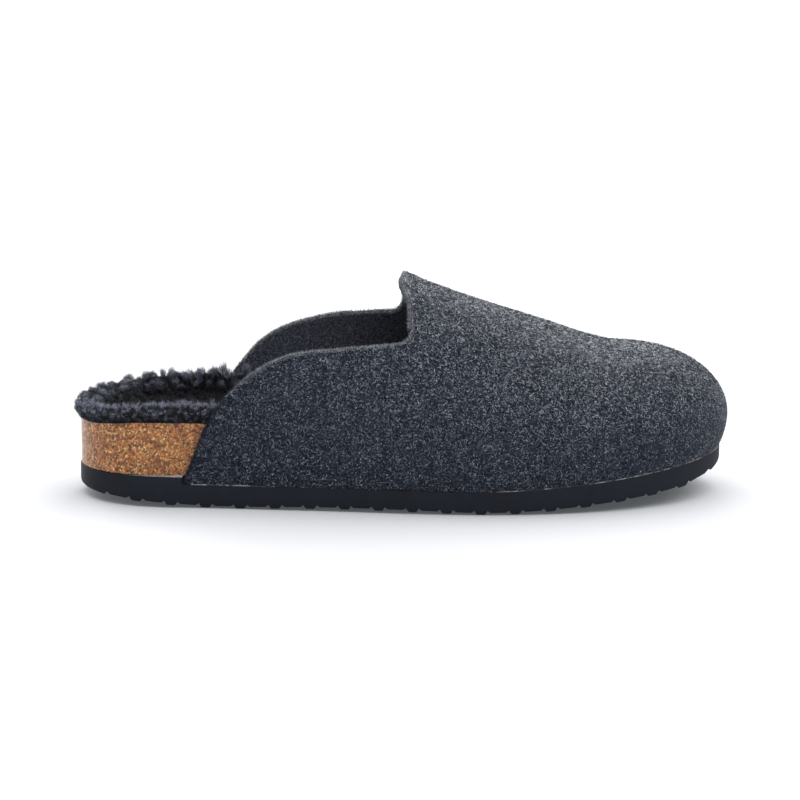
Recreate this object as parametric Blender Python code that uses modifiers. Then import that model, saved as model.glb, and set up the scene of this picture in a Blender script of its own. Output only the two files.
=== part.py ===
"""Felt slipper for the right foot: outsole, cork footbed, hollow felt upper and fleece insole.

Metres, +Z up, toe towards +X, the big-toe side towards +Y. The shoe stands on Z = 0 with the origin
under the middle of its box. The sizes and tables below are in millimetres from the back of the outsole.
"""

import math
import random
from bisect import bisect_right
from collections import namedtuple

import bmesh
import bpy
from mathutils import Matrix, Vector

MM = 0.001
GAP = 0.3
OUTER, INNER = -1, 1

# Plan of the outsole
SOLE_LENGTH = 275.0
HEEL_ROUND_X = 43.0
HEEL_SQUARE = 2.0
TOE_TIP_Y = 9.0
TOE_SQUARE = 2.2
Edge = namedtuple("Edge", "x half_width")
EDGES = {
    OUTER: (Edge(40, 35.5), Edge(95, 41.0), Edge(174, 49.5)),
    INNER: (Edge(40, 34.8), Edge(98, 35.5), Edge(204, 52.5)),
}

# Side profile of the outsole
TOE_SPRING = 9.4
TOE_SPRING_START_X = 176.0
TOE_SPRING_CURVE = 1.55
TOE_ROLL = 3.0
TOE_ROLL_START_X = 256.0
TOE_ROLL_CURVE = 1.8
HEEL_LIFT = 4.1
HEEL_LIFT_START_X = 57.7
HEEL_LIFT_CURVE = 1.3
WAIST_ARCH = 0.8
WAIST_START_X = 72.0
WAIST_END_X = 166.0
SEAT_Z = 13.0
LEDGE_Z = 10.0
SOLE_EDGE_ROUND = 2.0

# Tread: wide grooves straight across the sole
TREAD_PITCH = 14.5
TREAD_FIRST_X = 18.3
TREAD_LAST_X = 266.0
CUTTER_HALF_WIDTH = 63.0
CUTTER_DROP = 4.0
Corner = namedtuple("Corner", "x depth")
GROOVE = (
    Corner(5.7, 0.0),
    Corner(4.5, 1.6),
    Corner(-4.5, 1.6),
    Corner(-5.7, 0.0),
)

# Cork footbed: heights above the outsole's seat
FOOTBED_HEEL_INSET = 0.5
FOOTBED_INSET = 3.8
FOOTBED_RIM_INSET = 4.3
Bed = namedtuple("Bed", "x outer_rim middle inner_rim")
FOOTBED = (
    Bed(0, 19.8, 12.0, 19.8),
    Bed(30, 22.4, 12.0, 22.6),
    Bed(95, 20.5, 11.0, 24.0),
    Bed(150, 14.0, 9.0, 17.0),
    Bed(190, 11.0, 8.0, 11.5),
    Bed(275, 8.0, 8.0, 8.0),
)
FOOTBED_DISH = 2.2

# Felt upper: ridge line, outward belly and squareness of its sections. Behind the throat the ridge
# is only the line that the two quarters lean towards.
FELT = 3.0
FELT_EDGE_INSET = 0.4
BELLY_HEIGHT = 14.0
TOE_BELLY = 3.6
Section = namedtuple("Section", "x ridge_z ridge_y belly square")
UPPER = (
    Section(45.9, 126.0, 0.0, 0.0, 2.6),
    Section(95.0, 111.0, 0.5, 1.0, 2.4),
    Section(142.0, 94.3, 2.0, 2.0, 2.15),
    Section(150.0, 89.7, 2.6, 2.2, 2.13),
    Section(171.0, 81.9, 4.0, 2.4, 2.1),
    Section(203.0, 70.8, 6.0, 2.6, 2.1),
    Section(218.0, 66.0, 7.0, 2.8, 2.03),
    Section(230.0, 63.6, 7.5, 2.8, 1.97),
)
TOE_POLE_X = UPPER[-1].x

# Cut edge of the upper seen from the side: wing, collar, notch and throat
WING_X = 45.9
THROAT_X = 142.0
THROAT_LEAN = 3.0
THROAT_LEAN_CURVE = 0.75
THROAT_LEAN_FADE = 14.0
THROAT_FLARE = 1.4
THROAT_FLARE_WIDTH = 5.0
THROAT_FLARE_START = 6.0
NOTCH_RADIUS = {OUTER: 6.0, INNER: 8.2}
Cut = namedtuple("Cut", "x z")
COLLAR = {
    OUTER: (
        Cut(55.2, 34.0),
        Cut(60.6, 43.2),
        Cut(66.1, 49.9),
        Cut(74.5, 57.3),
        Cut(82.9, 62.5),
        Cut(93.4, 66.4),
        Cut(113.2, 68.8),
        Cut(THROAT_X - NOTCH_RADIUS[OUTER], 70.9),
    ),
    INNER: (
        Cut(57.5, 34.0),
        Cut(63.2, 43.2),
        Cut(68.6, 50.4),
        Cut(75.0, 58.1),
        Cut(82.7, 63.8),
        Cut(91.9, 67.8),
        Cut(108.0, 71.7),
        Cut(120.0, 72.4),
        Cut(THROAT_X - NOTCH_RADIUS[INNER], 72.9),
    ),
}

# Fleece insole: pile over the footbed, curling over its rim at the heel, with tufts fused on
INSOLE_FOOT_HEEL_INSET = 1.0
INSOLE_FOOT_INSET = 5.2
INSOLE_HEEL_INSET = -1.2
INSOLE_INSET = 4.0
Pile = namedtuple("Pile", "x middle rim")
PILE = (Pile(0, 8.0, 11.0), Pile(55, 8.5, 14.0), Pile(120, 7.0, 8.0), Pile(275, 6.0, 6.0))
PILE_RIM_RISE = 4
PILE_EDGE_SHARE = 0.5
PILE_EDGE_SQUARE = 12
TUFT_ROWS = 4
TUFT_HEEL_INSET = 3.2
TUFT_WALL_INSET = 5.4
TUFT_SPACING = 7.8
TUFT_END_X = 82.0
TUFT_WIDTH = 8.6
TUFT_LENGTH = 9.5
TUFT_SUNK = 2.2
TUFT_LEAN = 0.5
TUFT_SWING = 0.35
TUFT_SPREAD = 0.15
TUFT_SEED = 11
PATH_STEPS = 60

# Mesh density
HEEL_STATIONS = 8
MIDDLE_STATIONS = 13
TOE_STATIONS = 11
ACROSS = (-1.0, -0.9, -0.7, -0.38, 0.0, 0.38, 0.7, 0.9, 1.0)
QUARTER_COLUMNS = 17
VAMP_COLUMNS = 12
TOE_COLUMNS = 12
WALL_ROWS = 9
TOP_ROWS = 7
NOTCH_CROWDING = 1.5
ARC_STEPS = 8
WELD = 0.02
SMOOTH_ANGLE = math.radians(40)


def through(rows, column, x):
    """Value of a table's column at station x, on a smooth curve through its rows, level at both ends."""
    stations = [row.x for row in rows]
    values = [getattr(row, column) for row in rows]
    if x <= stations[0]:
        return values[0]
    if x >= stations[-1]:
        return values[-1]
    last = len(rows) - 1

    def slope(i):
        if i in (0, last):
            return 0.0
        return (values[i + 1] - values[i - 1]) / (stations[i + 1] - stations[i - 1])

    i = bisect_right(stations, x) - 1
    span = stations[i + 1] - stations[i]
    t = (x - stations[i]) / span
    rise = t * t * (3 - 2 * t)
    start = values[i] + slope(i) * span * t * (1 - t) ** 2
    return start + (values[i + 1] - values[i]) * rise - slope(i + 1) * span * t * t * (1 - t)


def superellipse(share, power):
    """Height of a quarter superellipse of unit size at that share of its length."""
    return max(0.0, 1.0 - min(1.0, abs(share)) ** power) ** (1.0 / power)


def ease(share):
    """Smooth step from 0 to 1."""
    share = min(1.0, max(0.0, share))
    return share * share * (3 - 2 * share)


class Outline:
    """Plan outline drawn in from the outsole's edge, by one inset at the heel's end and another ahead.

    A flared outline is let out again by the felt's belly, so that it stays beside the bellied wall.
    """

    def __init__(self, heel_inset, inset, flared=False):
        self.heel_inset = heel_inset
        self.inset = inset
        self.flare = 1.0 if flared else 0.0
        self.heel_x = heel_inset
        self.toe_x = SOLE_LENGTH - inset + self.flare * TOE_BELLY

    def half_width(self, side, x):
        inset = self.heel_inset + (self.inset - self.heel_inset) * ease(x / WING_X)
        return through(EDGES[side], "half_width", x) - inset + self.flare * belly_at(x)

    def y(self, side, x):
        """Y of the outline on that side at station x."""
        edge = side * self.half_width(side, x)
        if x < HEEL_ROUND_X:
            return edge * superellipse(self.behind(x), HEEL_SQUARE)
        ball_x = EDGES[side][-1].x
        if x > ball_x:
            ahead = (x - ball_x) / (self.toe_x - ball_x)
            return TOE_TIP_Y + (edge - TOE_TIP_Y) * superellipse(ahead, TOE_SQUARE)
        return edge

    def behind(self, x):
        """Share of the heel's round that lies ahead of station x."""
        return min(1.0, max(0.0, (HEEL_ROUND_X - x) / (HEEL_ROUND_X - self.heel_x)))

    def closeness(self, x, y):
        """How near a point is to the outline: 0 midway between the sides, and 1 on the outline."""
        outer, inner = self.y(OUTER, x), self.y(INNER, x)
        across = min(1.0, abs(2 * y - outer - inner) / max(inner - outer, GAP))
        behind = self.behind(x) ** HEEL_SQUARE
        return (behind + (1.0 - behind) * across**HEEL_SQUARE) ** (1.0 / HEEL_SQUARE)

    def stations(self):
        """Stations along the outline, close together where its ends are round."""
        ball_x = EDGES[INNER][-1].x
        heel = [
            HEEL_ROUND_X - (HEEL_ROUND_X - self.heel_x) * math.cos(math.pi / 2 * i / HEEL_STATIONS)
            for i in range(HEEL_STATIONS + 1)
        ]
        step = (ball_x - WING_X) / MIDDLE_STATIONS
        middle = [WING_X - 2 * GAP] + [WING_X - GAP + step * i for i in range(MIDDLE_STATIONS)]
        toe = [
            ball_x + (self.toe_x - ball_x) * math.sin(math.pi / 2 * i / TOE_STATIONS)
            for i in range(TOE_STATIONS + 1)
        ]
        return heel + middle + toe

    def loop(self, height):
        """Closed ring of points: along the outer side to the toe, and back along the inner."""
        stations = self.stations()
        there = [(x, self.y(OUTER, x)) for x in stations]
        back = [(x, self.y(INNER, x)) for x in reversed(stations)]
        return [(x, y, height(x, y)) for x, y in there + back + there[:1]]

    def sheet(self, height):
        """Grid of points that fills the outline, a row across the shoe for each station."""
        rows = []
        for x in self.stations():
            outer, inner = self.y(OUTER, x), self.y(INNER, x)
            ys = [outer + (inner - outer) * (t + 1) / 2 for t in ACROSS]
            rows.append([(x, y, height(x, y)) for y in ys])
        return rows


class Skin:
    """Grids of points, in millimetres, gathered into one mesh whose meeting edges are welded."""

    def __init__(self):
        self.mesh = bmesh.new()

    def grid(self, rows):
        corners = [[self.mesh.verts.new(Vector(point) * MM) for point in row] for row in rows]
        for low, high in zip(corners, corners[1:]):
            for quad in zip(low, low[1:], high[1:], high):
                self.mesh.faces.new(quad)

    def weld(self):
        bmesh.ops.remove_doubles(self.mesh, verts=self.mesh.verts, dist=WELD * MM)
        bmesh.ops.dissolve_degenerate(self.mesh, edges=self.mesh.edges, dist=WELD * MM)
        bmesh.ops.recalc_face_normals(self.mesh, faces=self.mesh.faces)

    def turn_top_outwards(self):
        """Turns an open sheet so that its highest face looks up."""
        highest = max(self.mesh.faces, key=lambda face: face.calc_center_median().z)
        if highest.normal.z < 0:
            bmesh.ops.reverse_faces(self.mesh, faces=self.mesh.faces)

    def to_object(self, name, collection, material=None):
        data = bpy.data.meshes.new(name)
        self.mesh.to_mesh(data)
        self.mesh.free()
        data.shade_smooth()
        data.set_sharp_from_angle(angle=SMOOTH_ANGLE)
        made = bpy.data.objects.new(name, data)
        collection.objects.link(made)
        if material:
            data.materials.append(material)
        return made


def toe_lift(x):
    ahead = max(0.0, x - TOE_SPRING_START_X) / (SOLE_LENGTH - TOE_SPRING_START_X)
    return TOE_SPRING * ahead**TOE_SPRING_CURVE


def tread_z(x):
    """Underside of the outsole: it stands on heel and ball, with arched waist, toe spring and rolled ends."""
    back = max(0.0, HEEL_LIFT_START_X - x) / HEEL_LIFT_START_X
    ahead = max(0.0, x - TOE_ROLL_START_X) / (SOLE_LENGTH - TOE_ROLL_START_X)
    waist = (x - WAIST_START_X) / (WAIST_END_X - WAIST_START_X)
    arch = WAIST_ARCH * max(0.0, 4 * waist * (1.0 - waist))
    return toe_lift(x) + arch + HEEL_LIFT * back**HEEL_LIFT_CURVE + TOE_ROLL * ahead**TOE_ROLL_CURVE


def seat_z(x):
    return SEAT_Z + toe_lift(x)


def ledge_z(x):
    """Top of the outsole's edge: level with the seat round the bare heel, and a rebate under the felt."""
    return seat_z(x) if x < WING_X - 1.5 * GAP else LEDGE_Z + toe_lift(x)


def level(height):
    """Height that is the same right across the shoe."""
    return lambda x, y: height(x)


SOLE_EDGE = Outline(0.0, 0.0)
SOLE_FOOT = Outline(SOLE_EDGE_ROUND, SOLE_EDGE_ROUND)
FOOTBED_FOOT = Outline(FOOTBED_HEEL_INSET, FOOTBED_INSET)
FOOTBED_RIM = Outline(FOOTBED_HEEL_INSET, FOOTBED_RIM_INSET, flared=True)
FELT_FOOT = Outline(FELT_EDGE_INSET, FELT_EDGE_INSET)
INSOLE_FOOT = Outline(INSOLE_FOOT_HEEL_INSET, INSOLE_FOOT_INSET, flared=True)
INSOLE_EDGE = Outline(INSOLE_HEEL_INSET, INSOLE_INSET, flared=True)


def groove_cutter(mesh, x):
    """Bar across the sole that cuts one groove of the tread."""
    low = tread_z(x) - CUTTER_DROP
    profile = [(x + corner.x, tread_z(x + corner.x) + corner.depth) for corner in GROOVE]
    profile = [(profile[-1][0], low), (profile[0][0], low)] + profile
    near, far = (
        [mesh.verts.new(Vector((px, y, pz)) * MM) for px, pz in profile]
        for y in (-CUTTER_HALF_WIDTH, CUTTER_HALF_WIDTH)
    )
    for k in range(len(profile)):
        mesh.faces.new((near[k], near[k - 1], far[k - 1], far[k]))
    mesh.faces.new(near)
    mesh.faces.new(far[::-1])


def make_tread_cutter(collection):
    skin = Skin()
    x = TREAD_FIRST_X
    while x < TREAD_LAST_X:
        groove_cutter(skin.mesh, x)
        x += TREAD_PITCH
    bmesh.ops.recalc_face_normals(skin.mesh, faces=skin.mesh.faces)
    return as_helper(skin.to_object("tread_cutter", collection))


def make_outsole(collection, helpers, material):
    skin = Skin()
    rings = [
        SOLE_FOOT.loop(level(tread_z)),
        SOLE_EDGE.loop(lambda x, y: tread_z(x) + SOLE_EDGE_ROUND),
        SOLE_EDGE.loop(level(ledge_z)),
        FOOTBED_FOOT.loop(level(ledge_z)),
        FOOTBED_FOOT.loop(level(seat_z)),
    ]
    skin.grid(rings)
    skin.grid(SOLE_FOOT.sheet(level(tread_z)))
    skin.grid(FOOTBED_FOOT.sheet(level(seat_z)))
    skin.weld()
    outsole = skin.to_object("outsole", collection, material)
    tread = outsole.modifiers.new("tread", "BOOLEAN")
    tread.operation = "DIFFERENCE"
    tread.object = make_tread_cutter(helpers)
    return outsole


def bed_z(x, y):
    """Top of the cork footbed: a heel cup, an arch on the inner side and a flatter forefoot."""
    rim = through(FOOTBED, "outer_rim" if y < 0 else "inner_rim", x)
    middle = through(FOOTBED, "middle", x)
    return seat_z(x) + GAP + middle + (rim - middle) * FOOTBED_RIM.closeness(x, y) ** FOOTBED_DISH


def bed_foot_z(x, y):
    return seat_z(x) + GAP


def make_footbed(collection, material):
    skin = Skin()
    skin.grid([FOOTBED_FOOT.loop(bed_foot_z), FOOTBED_RIM.loop(bed_z)])
    skin.grid(FOOTBED_FOOT.sheet(bed_foot_z))
    skin.grid(FOOTBED_RIM.sheet(bed_z))
    skin.weld()
    return skin.to_object("footbed", collection, material)


def wall_point(foot, ridge, belly, square, z):
    """Point at height z on the felt's outer face, which bellies out over its foot and meets the ridge."""
    crest = foot.z + BELLY_HEIGHT
    reach = Vector((foot.x - ridge.x, foot.y - ridge.y))
    if z < crest:
        out = reach.length + belly * (1.0 - ((crest - z) / BELLY_HEIGHT) ** 2)
    else:
        out = (reach.length + belly) * superellipse((z - crest) / (ridge.z - crest), square)
    plan = reach.normalized() * out
    return (ridge.x + plan.x, ridge.y + plan.y, z)


def felt_foot(side, x):
    return Vector((x, FELT_FOOT.y(side, x), ledge_z(x) + GAP))


def ridge_at(x):
    x = min(x, TOE_POLE_X)
    return Vector((x, through(UPPER, "ridge_y", x), through(UPPER, "ridge_z", x)))


def belly_at(x):
    ahead = ease((x - TOE_POLE_X) / (SOLE_LENGTH - TOE_POLE_X))
    return through(UPPER, "belly", x) + (TOE_BELLY - UPPER[-1].belly) * ahead


def notch_top_z(side):
    return COLLAR[side][-1].z + NOTCH_RADIUS[side]


def knee_share(side, x):
    """Top of the wall's rows, as a share of a section above its crest.

    At the throat it is the notch's end, and from the toe's pole on it is the same on both sides.
    """
    crest = felt_foot(side, THROAT_X).z + BELLY_HEIGHT
    toe_z = (notch_top_z(OUTER) + notch_top_z(INNER)) / 2
    ahead = ease((x - THROAT_X) / (TOE_POLE_X - THROAT_X))
    knee_z = notch_top_z(side) + (toe_z - notch_top_z(side)) * ahead
    return (knee_z - crest) / (ridge_at(THROAT_X).z - crest)


def throat_rise(side, z, x):
    """Share of the height from a side's notch up to the ridge at station x."""
    start_z = notch_top_z(side)
    top_z = max(ridge_at(x).z, start_z + GAP)
    return min(1.0, max(0.0, (z - start_z) / (top_z - start_z)))


def at_throat(side, point):
    """Point of the felt's face as the throat moves it: leant back at the top, flared at the sides."""
    x, y, z = point
    ahead = max(0.0, x - THROAT_X)
    fade = max(0.0, 1.0 - ahead / THROAT_LEAN_FADE)
    lean = THROAT_LEAN * throat_rise(side, z, x) ** THROAT_LEAN_CURVE * fade**2
    near = max(0.0, 1.0 - abs(x - THROAT_X) / THROAT_FLARE_WIDTH)
    started = ease((z - notch_top_z(side)) / THROAT_FLARE_START + 1.0)
    flare = THROAT_FLARE * near**2 * started * (1.0 - throat_rise(side, z, x) ** 2)
    return (x - lean, y + side * flare, z)


def section_column(side, x):
    """Points of the felt's outer face at station x, from its foot up to the ridge or the toe's pole."""
    foot, ridge = felt_foot(side, x), ridge_at(x)
    belly, square = belly_at(x), through(UPPER, "square", x)
    crest = foot.z + BELLY_HEIGHT
    share = knee_share(side, x)
    knee = crest + (ridge.z - crest) * share
    heights = [foot.z + (knee - foot.z) * row / WALL_ROWS for row in range(WALL_ROWS)]
    first_angle = math.asin(share ** (square / 2))
    for row in range(TOP_ROWS + 1):
        angle = first_angle + (math.pi / 2 - first_angle) * row / TOP_ROWS
        heights.append(crest + (ridge.z - crest) * math.sin(angle) ** (2 / square))
    return [at_throat(side, wall_point(foot, ridge, belly, square, z)) for z in heights]


def collar_line(side):
    """Points along the cut edge seen from the side, from the top of the wing to the end of the notch."""
    cuts = COLLAR[side]
    dense = []
    for i in range(len(cuts) - 1):
        before = cuts[max(0, i - 1)]
        after = cuts[min(len(cuts) - 1, i + 2)]
        for k in range(ARC_STEPS):
            dense.append(catmull_rom(before, cuts[i], cuts[i + 1], after, k / ARC_STEPS))
    last, radius = cuts[-1], NOTCH_RADIUS[side]
    for k in range(ARC_STEPS + 1):
        turn = math.pi / 2 * k / ARC_STEPS
        dense.append((last.x + radius * math.sin(turn), last.z + radius * (1 - math.cos(turn))))
    return dense


def catmull_rom(before, here, there, after, t):
    def blend(a, b, c, d):
        return b + t * ((c - a) + t * ((2 * a - 5 * b + 4 * c - d) + t * (3 * b - a - 3 * c + d))) / 2

    return tuple(blend(*values) for values in zip(before, here, there, after))


def along(line, share):
    """Point at a share of a polyline's length."""
    lengths = [math.dist(a, b) for a, b in zip(line, line[1:])]
    left = share * sum(lengths)
    for (a, b), length in zip(zip(line, line[1:]), lengths):
        if left <= length:
            t = left / length
            return tuple(p + (q - p) * t for p, q in zip(a, b))
        left -= length
    return line[-1]


def quarter_patch(side):
    """Side wall behind the throat, ruled in side view between the sole's edge and the cut collar."""
    line = collar_line(side)
    foot_z = felt_foot(side, THROAT_X).z
    rows = []
    for row in range(WALL_ROWS + 1):
        rise = row / WALL_ROWS
        points = []
        for column in range(QUARTER_COLUMNS + 1):
            share = 1.0 - (1.0 - column / QUARTER_COLUMNS) ** NOTCH_CROWDING
            high_x, high_z = along(line, share)
            low_x = WING_X + (THROAT_X - WING_X) * share
            x = low_x + (high_x - low_x) * rise
            z = foot_z + (high_z - foot_z) * rise
            square = through(UPPER, "square", x)
            point = wall_point(felt_foot(side, x), ridge_at(x), belly_at(x), square, z)
            points.append(at_throat(side, point))
        rows.append(points)
    return rows


def vamp_grid(side):
    step = (TOE_POLE_X - THROAT_X) / VAMP_COLUMNS
    return [section_column(side, THROAT_X + step * i) for i in range(VAMP_COLUMNS + 1)]


def toe_fan(side):
    reach = FELT_FOOT.toe_x - TOE_POLE_X
    turns = [math.pi / 2 * i / TOE_COLUMNS for i in range(TOE_COLUMNS + 1)]
    return [section_column(side, TOE_POLE_X + reach * math.sin(turn)) for turn in turns]


def make_upper(collection, material):
    skin = Skin()
    for side in (OUTER, INNER):
        skin.grid(quarter_patch(side))
        skin.grid(vamp_grid(side))
        skin.grid(toe_fan(side))
    skin.weld()
    skin.turn_top_outwards()
    upper = skin.to_object("upper", collection, material)
    felt = upper.modifiers.new("felt", "SOLIDIFY")
    felt.thickness = FELT * MM
    felt.offset = -1.0
    felt.use_even_offset = True
    return upper


def pile_foot_z(x, y):
    return bed_z(x, y) + GAP


def pile_z(x, y):
    """Top of the fleece under its tufts: deepest along the rim, and rounded off at the edge itself."""
    close = INSOLE_EDGE.closeness(x, y)
    middle, rim = through(PILE, "middle", x), through(PILE, "rim", x)
    depth = middle + (rim - middle) * close**PILE_RIM_RISE
    return pile_foot_z(x, y) + depth * (1.0 - (1.0 - PILE_EDGE_SHARE) * close**PILE_EDGE_SQUARE)


def tuft_path(row):
    """Line along which one row of tufts stands: round the heel from the outer side to the inner."""
    heel_inset = INSOLE_HEEL_INSET + TUFT_HEEL_INSET + TUFT_SPACING * row
    wall_inset = INSOLE_INSET + TUFT_WALL_INSET + TUFT_SPACING * row
    path = Outline(heel_inset, wall_inset, flared=True)
    shares = [(i / PATH_STEPS) ** 2 for i in range(PATH_STEPS + 1)]
    stations = [path.heel_x + (TUFT_END_X - path.heel_x) * share for share in shares]
    there = [(x, path.y(OUTER, x)) for x in reversed(stations)]
    back = [(x, path.y(INNER, x)) for x in stations[1:]]
    return there + back


def make_tufts(collection):
    """Rounded tufts over the heel's fleece: the bare rim's lean outwards, the rest stand up."""
    chance = random.Random(TUFT_SEED)
    skin = Skin()
    for row in range(TUFT_ROWS):
        line = tuft_path(row)
        count = int(sum(math.dist(a, b) for a, b in zip(line, line[1:])) / TUFT_SPACING)
        for i in range(count):
            x, y = along(line, (i + 0.5 * (row % 2)) / count)
            bare_rim = row == 0 and x < WING_X - TUFT_WIDTH / 2
            outward = Vector((x - HEEL_ROUND_X, y, 0.0)).normalized()
            swing = Vector((chance.uniform(-1, 1), chance.uniform(-1, 1), 0.0)) * TUFT_SWING
            axis = Vector((0.0, 0.0, 1.0)) + (outward * TUFT_LEAN if bare_rim else swing)
            grown = 1.0 + TUFT_SPREAD * chance.uniform(-1, 1)
            half_size = Vector((TUFT_WIDTH, TUFT_WIDTH, TUFT_LENGTH)) * (grown / 2)
            middle = Vector((x, y, pile_z(x, y) - TUFT_SUNK))
            turn = axis.to_track_quat("Z", "Y").to_matrix().to_4x4()
            place = Matrix.Translation(middle * MM) @ turn @ Matrix.Diagonal((*(half_size * MM), 1.0))
            bmesh.ops.create_icosphere(skin.mesh, subdivisions=1, radius=1.0, matrix=place)
    return as_helper(skin.to_object("tuft_mass", collection))


def make_insole(collection, helpers, material):
    skin = Skin()
    skin.grid([INSOLE_FOOT.loop(pile_foot_z), INSOLE_EDGE.loop(pile_z)])
    skin.grid(INSOLE_FOOT.sheet(pile_foot_z))
    skin.grid(INSOLE_EDGE.sheet(pile_z))
    skin.weld()
    insole = skin.to_object("insole", collection, material)
    fuse = insole.modifiers.new("tufts", "BOOLEAN")
    fuse.operation = "UNION"
    fuse.use_self = True
    fuse.object = make_tufts(helpers)
    return insole


def as_helper(helper):
    helper.hide_render = True
    helper.display_type = "WIRE"
    return helper


def make_material(name, colour, roughness):
    material = bpy.data.materials.new(name)
    material.use_nodes = True
    shader = material.node_tree.nodes["Principled BSDF"]
    shader.inputs["Base Color"].default_value = (*colour, 1.0)
    shader.inputs["Roughness"].default_value = roughness
    shader.inputs["Metallic"].default_value = 0.0
    return material


def clear_scene():
    for old in list(bpy.data.objects):
        bpy.data.objects.remove(old)


def make_collection(name):
    collection = bpy.data.collections.new(name)
    bpy.context.scene.collection.children.link(collection)
    return collection


def centre_on_origin(parts, helpers):
    """Shifts every mesh so that the origin is under the middle of the shoe's box."""
    bpy.context.view_layer.update()
    graph = bpy.context.evaluated_depsgraph_get()
    corners = [Vector(corner) for part in parts for corner in part.evaluated_get(graph).bound_box]
    low = Vector(map(min, *corners))
    high = Vector(map(max, *corners))
    shift = Matrix.Translation(Vector((-(low.x + high.x) / 2, -(low.y + high.y) / 2, 0.0)))
    for shaped in [*parts, *helpers]:
        shaped.data.transform(shift)


def main():
    clear_scene()
    shoe = make_collection("felt_slipper")
    helpers = make_collection("cutters")
    foam = make_material("black_foam", (0.018, 0.020, 0.025), 0.75)
    cork = make_material("cork", (0.33, 0.16, 0.07), 0.35)
    felt = make_material("charcoal_felt", (0.038, 0.045, 0.058), 0.95)
    fleece = make_material("black_fleece", (0.020, 0.021, 0.026), 0.95)
    parts = [
        make_outsole(shoe, helpers, foam),
        make_footbed(shoe, cork),
        make_upper(shoe, felt),
        make_insole(shoe, helpers, fleece),
    ]
    centre_on_origin(parts, helpers.objects)


main()
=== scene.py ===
"""Looks of the felt slipper: felt, cork, foam and fleece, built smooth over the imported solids.

The form's tables are the part's own, in millimetres from the back of the outsole.
"""

import math
from bisect import bisect_right
from collections import namedtuple

import bmesh
import bpy
import numpy as np
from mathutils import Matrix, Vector, kdtree, noise


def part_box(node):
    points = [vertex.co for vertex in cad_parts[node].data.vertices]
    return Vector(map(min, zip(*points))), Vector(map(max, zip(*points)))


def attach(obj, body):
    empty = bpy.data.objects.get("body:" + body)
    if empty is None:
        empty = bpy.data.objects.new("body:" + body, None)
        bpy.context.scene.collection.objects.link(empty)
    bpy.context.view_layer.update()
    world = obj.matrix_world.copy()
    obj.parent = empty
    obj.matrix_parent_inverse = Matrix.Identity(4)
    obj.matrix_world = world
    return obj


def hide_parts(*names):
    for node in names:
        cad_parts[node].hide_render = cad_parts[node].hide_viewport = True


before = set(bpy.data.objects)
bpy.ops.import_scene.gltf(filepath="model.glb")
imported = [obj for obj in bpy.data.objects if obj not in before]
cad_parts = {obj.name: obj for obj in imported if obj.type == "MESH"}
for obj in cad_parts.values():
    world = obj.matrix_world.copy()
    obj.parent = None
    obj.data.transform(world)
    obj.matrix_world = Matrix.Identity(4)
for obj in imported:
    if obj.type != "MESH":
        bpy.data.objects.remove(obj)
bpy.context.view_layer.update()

MM = 0.001
GAP = 0.3
OUTER, INNER = -1, 1

# Plan of the outsole
SOLE_LENGTH = 275.0
HEEL_ROUND_X = 43.0
HEEL_SQUARE = 2.0
TOE_TIP_Y = 9.0
TOE_SQUARE = 2.2
Edge = namedtuple("Edge", "x half_width")
EDGES = {
    OUTER: (Edge(40, 35.5), Edge(95, 41.0), Edge(174, 49.5)),
    INNER: (Edge(40, 34.8), Edge(98, 35.5), Edge(204, 52.5)),
}

# Side profile of the outsole
TOE_SPRING = 9.4
TOE_SPRING_START_X = 176.0
TOE_SPRING_CURVE = 1.55
TOE_ROLL = 3.0
TOE_ROLL_START_X = 256.0
TOE_ROLL_CURVE = 1.8
HEEL_LIFT = 4.1
HEEL_LIFT_START_X = 57.7
HEEL_LIFT_CURVE = 1.3
WAIST_ARCH = 0.8
WAIST_START_X = 72.0
WAIST_END_X = 166.0
SEAT_Z = 13.0
LEDGE_Z = 10.0
SOLE_EDGE_ROUND = 2.0
LEDGE_ROUND = 0.4
TREAD_SHARP_DEG = 28.0
ROUND_STEPS = 3

# Tread: wide zigzag grooves across the sole, each with a deeper nick along both of its sides
TREAD_PITCH = 14.5
TREAD_FIRST_X = 18.3
TREAD_LAST_X = 266.0
ZIGZAG_STEP = 21.0
ZIGZAG_REACH = 3.0
CUTTER_HALF_WIDTH = 63.0
CUTTER_DROP = 4.0
Corner = namedtuple("Corner", "x depth")
HALF_GROOVE = (Corner(5.7, 0.0), Corner(4.5, 2.0), Corner(3.2, 1.1))
GROOVE = HALF_GROOVE + tuple(Corner(-x, depth) for x, depth in reversed(HALF_GROOVE))
NICK_DEPTH = max(corner.depth for corner in GROOVE)

# Cork footbed: heights above the outsole's seat
FOOTBED_HEEL_INSET = 0.5
FOOTBED_INSET = 3.8
FOOTBED_RIM_INSET = 4.3
Bed = namedtuple("Bed", "x outer_rim middle inner_rim")
FOOTBED = (
    Bed(0, 19.8, 12.0, 19.8),
    Bed(30, 22.4, 12.0, 22.6),
    Bed(95, 20.5, 11.0, 24.0),
    Bed(150, 14.0, 9.0, 17.0),
    Bed(190, 11.0, 8.0, 11.5),
    Bed(275, 8.0, 8.0, 8.0),
)
FOOTBED_DISH = 2.2

# Felt upper: ridge line, outward belly and squareness of its sections
FELT = 3.0
FELT_SEAM = 0.05
FELT_EDGE_INSET = 0.4
BELLY_HEIGHT = 14.0
TOE_BELLY = 3.6
Section = namedtuple("Section", "x ridge_z ridge_y belly square")
UPPER = (
    Section(45.9, 126.0, 0.0, 0.0, 2.6),
    Section(95.0, 111.0, 0.5, 1.0, 2.4),
    Section(142.0, 94.3, 2.0, 2.0, 2.15),
    Section(150.0, 89.7, 2.6, 2.2, 2.13),
    Section(171.0, 81.9, 4.0, 2.4, 2.1),
    Section(203.0, 70.8, 6.0, 2.6, 2.1),
    Section(218.0, 66.0, 7.0, 2.8, 2.03),
    Section(230.0, 63.6, 7.5, 2.8, 1.97),
)
TOE_POLE_X = UPPER[-1].x

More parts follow.
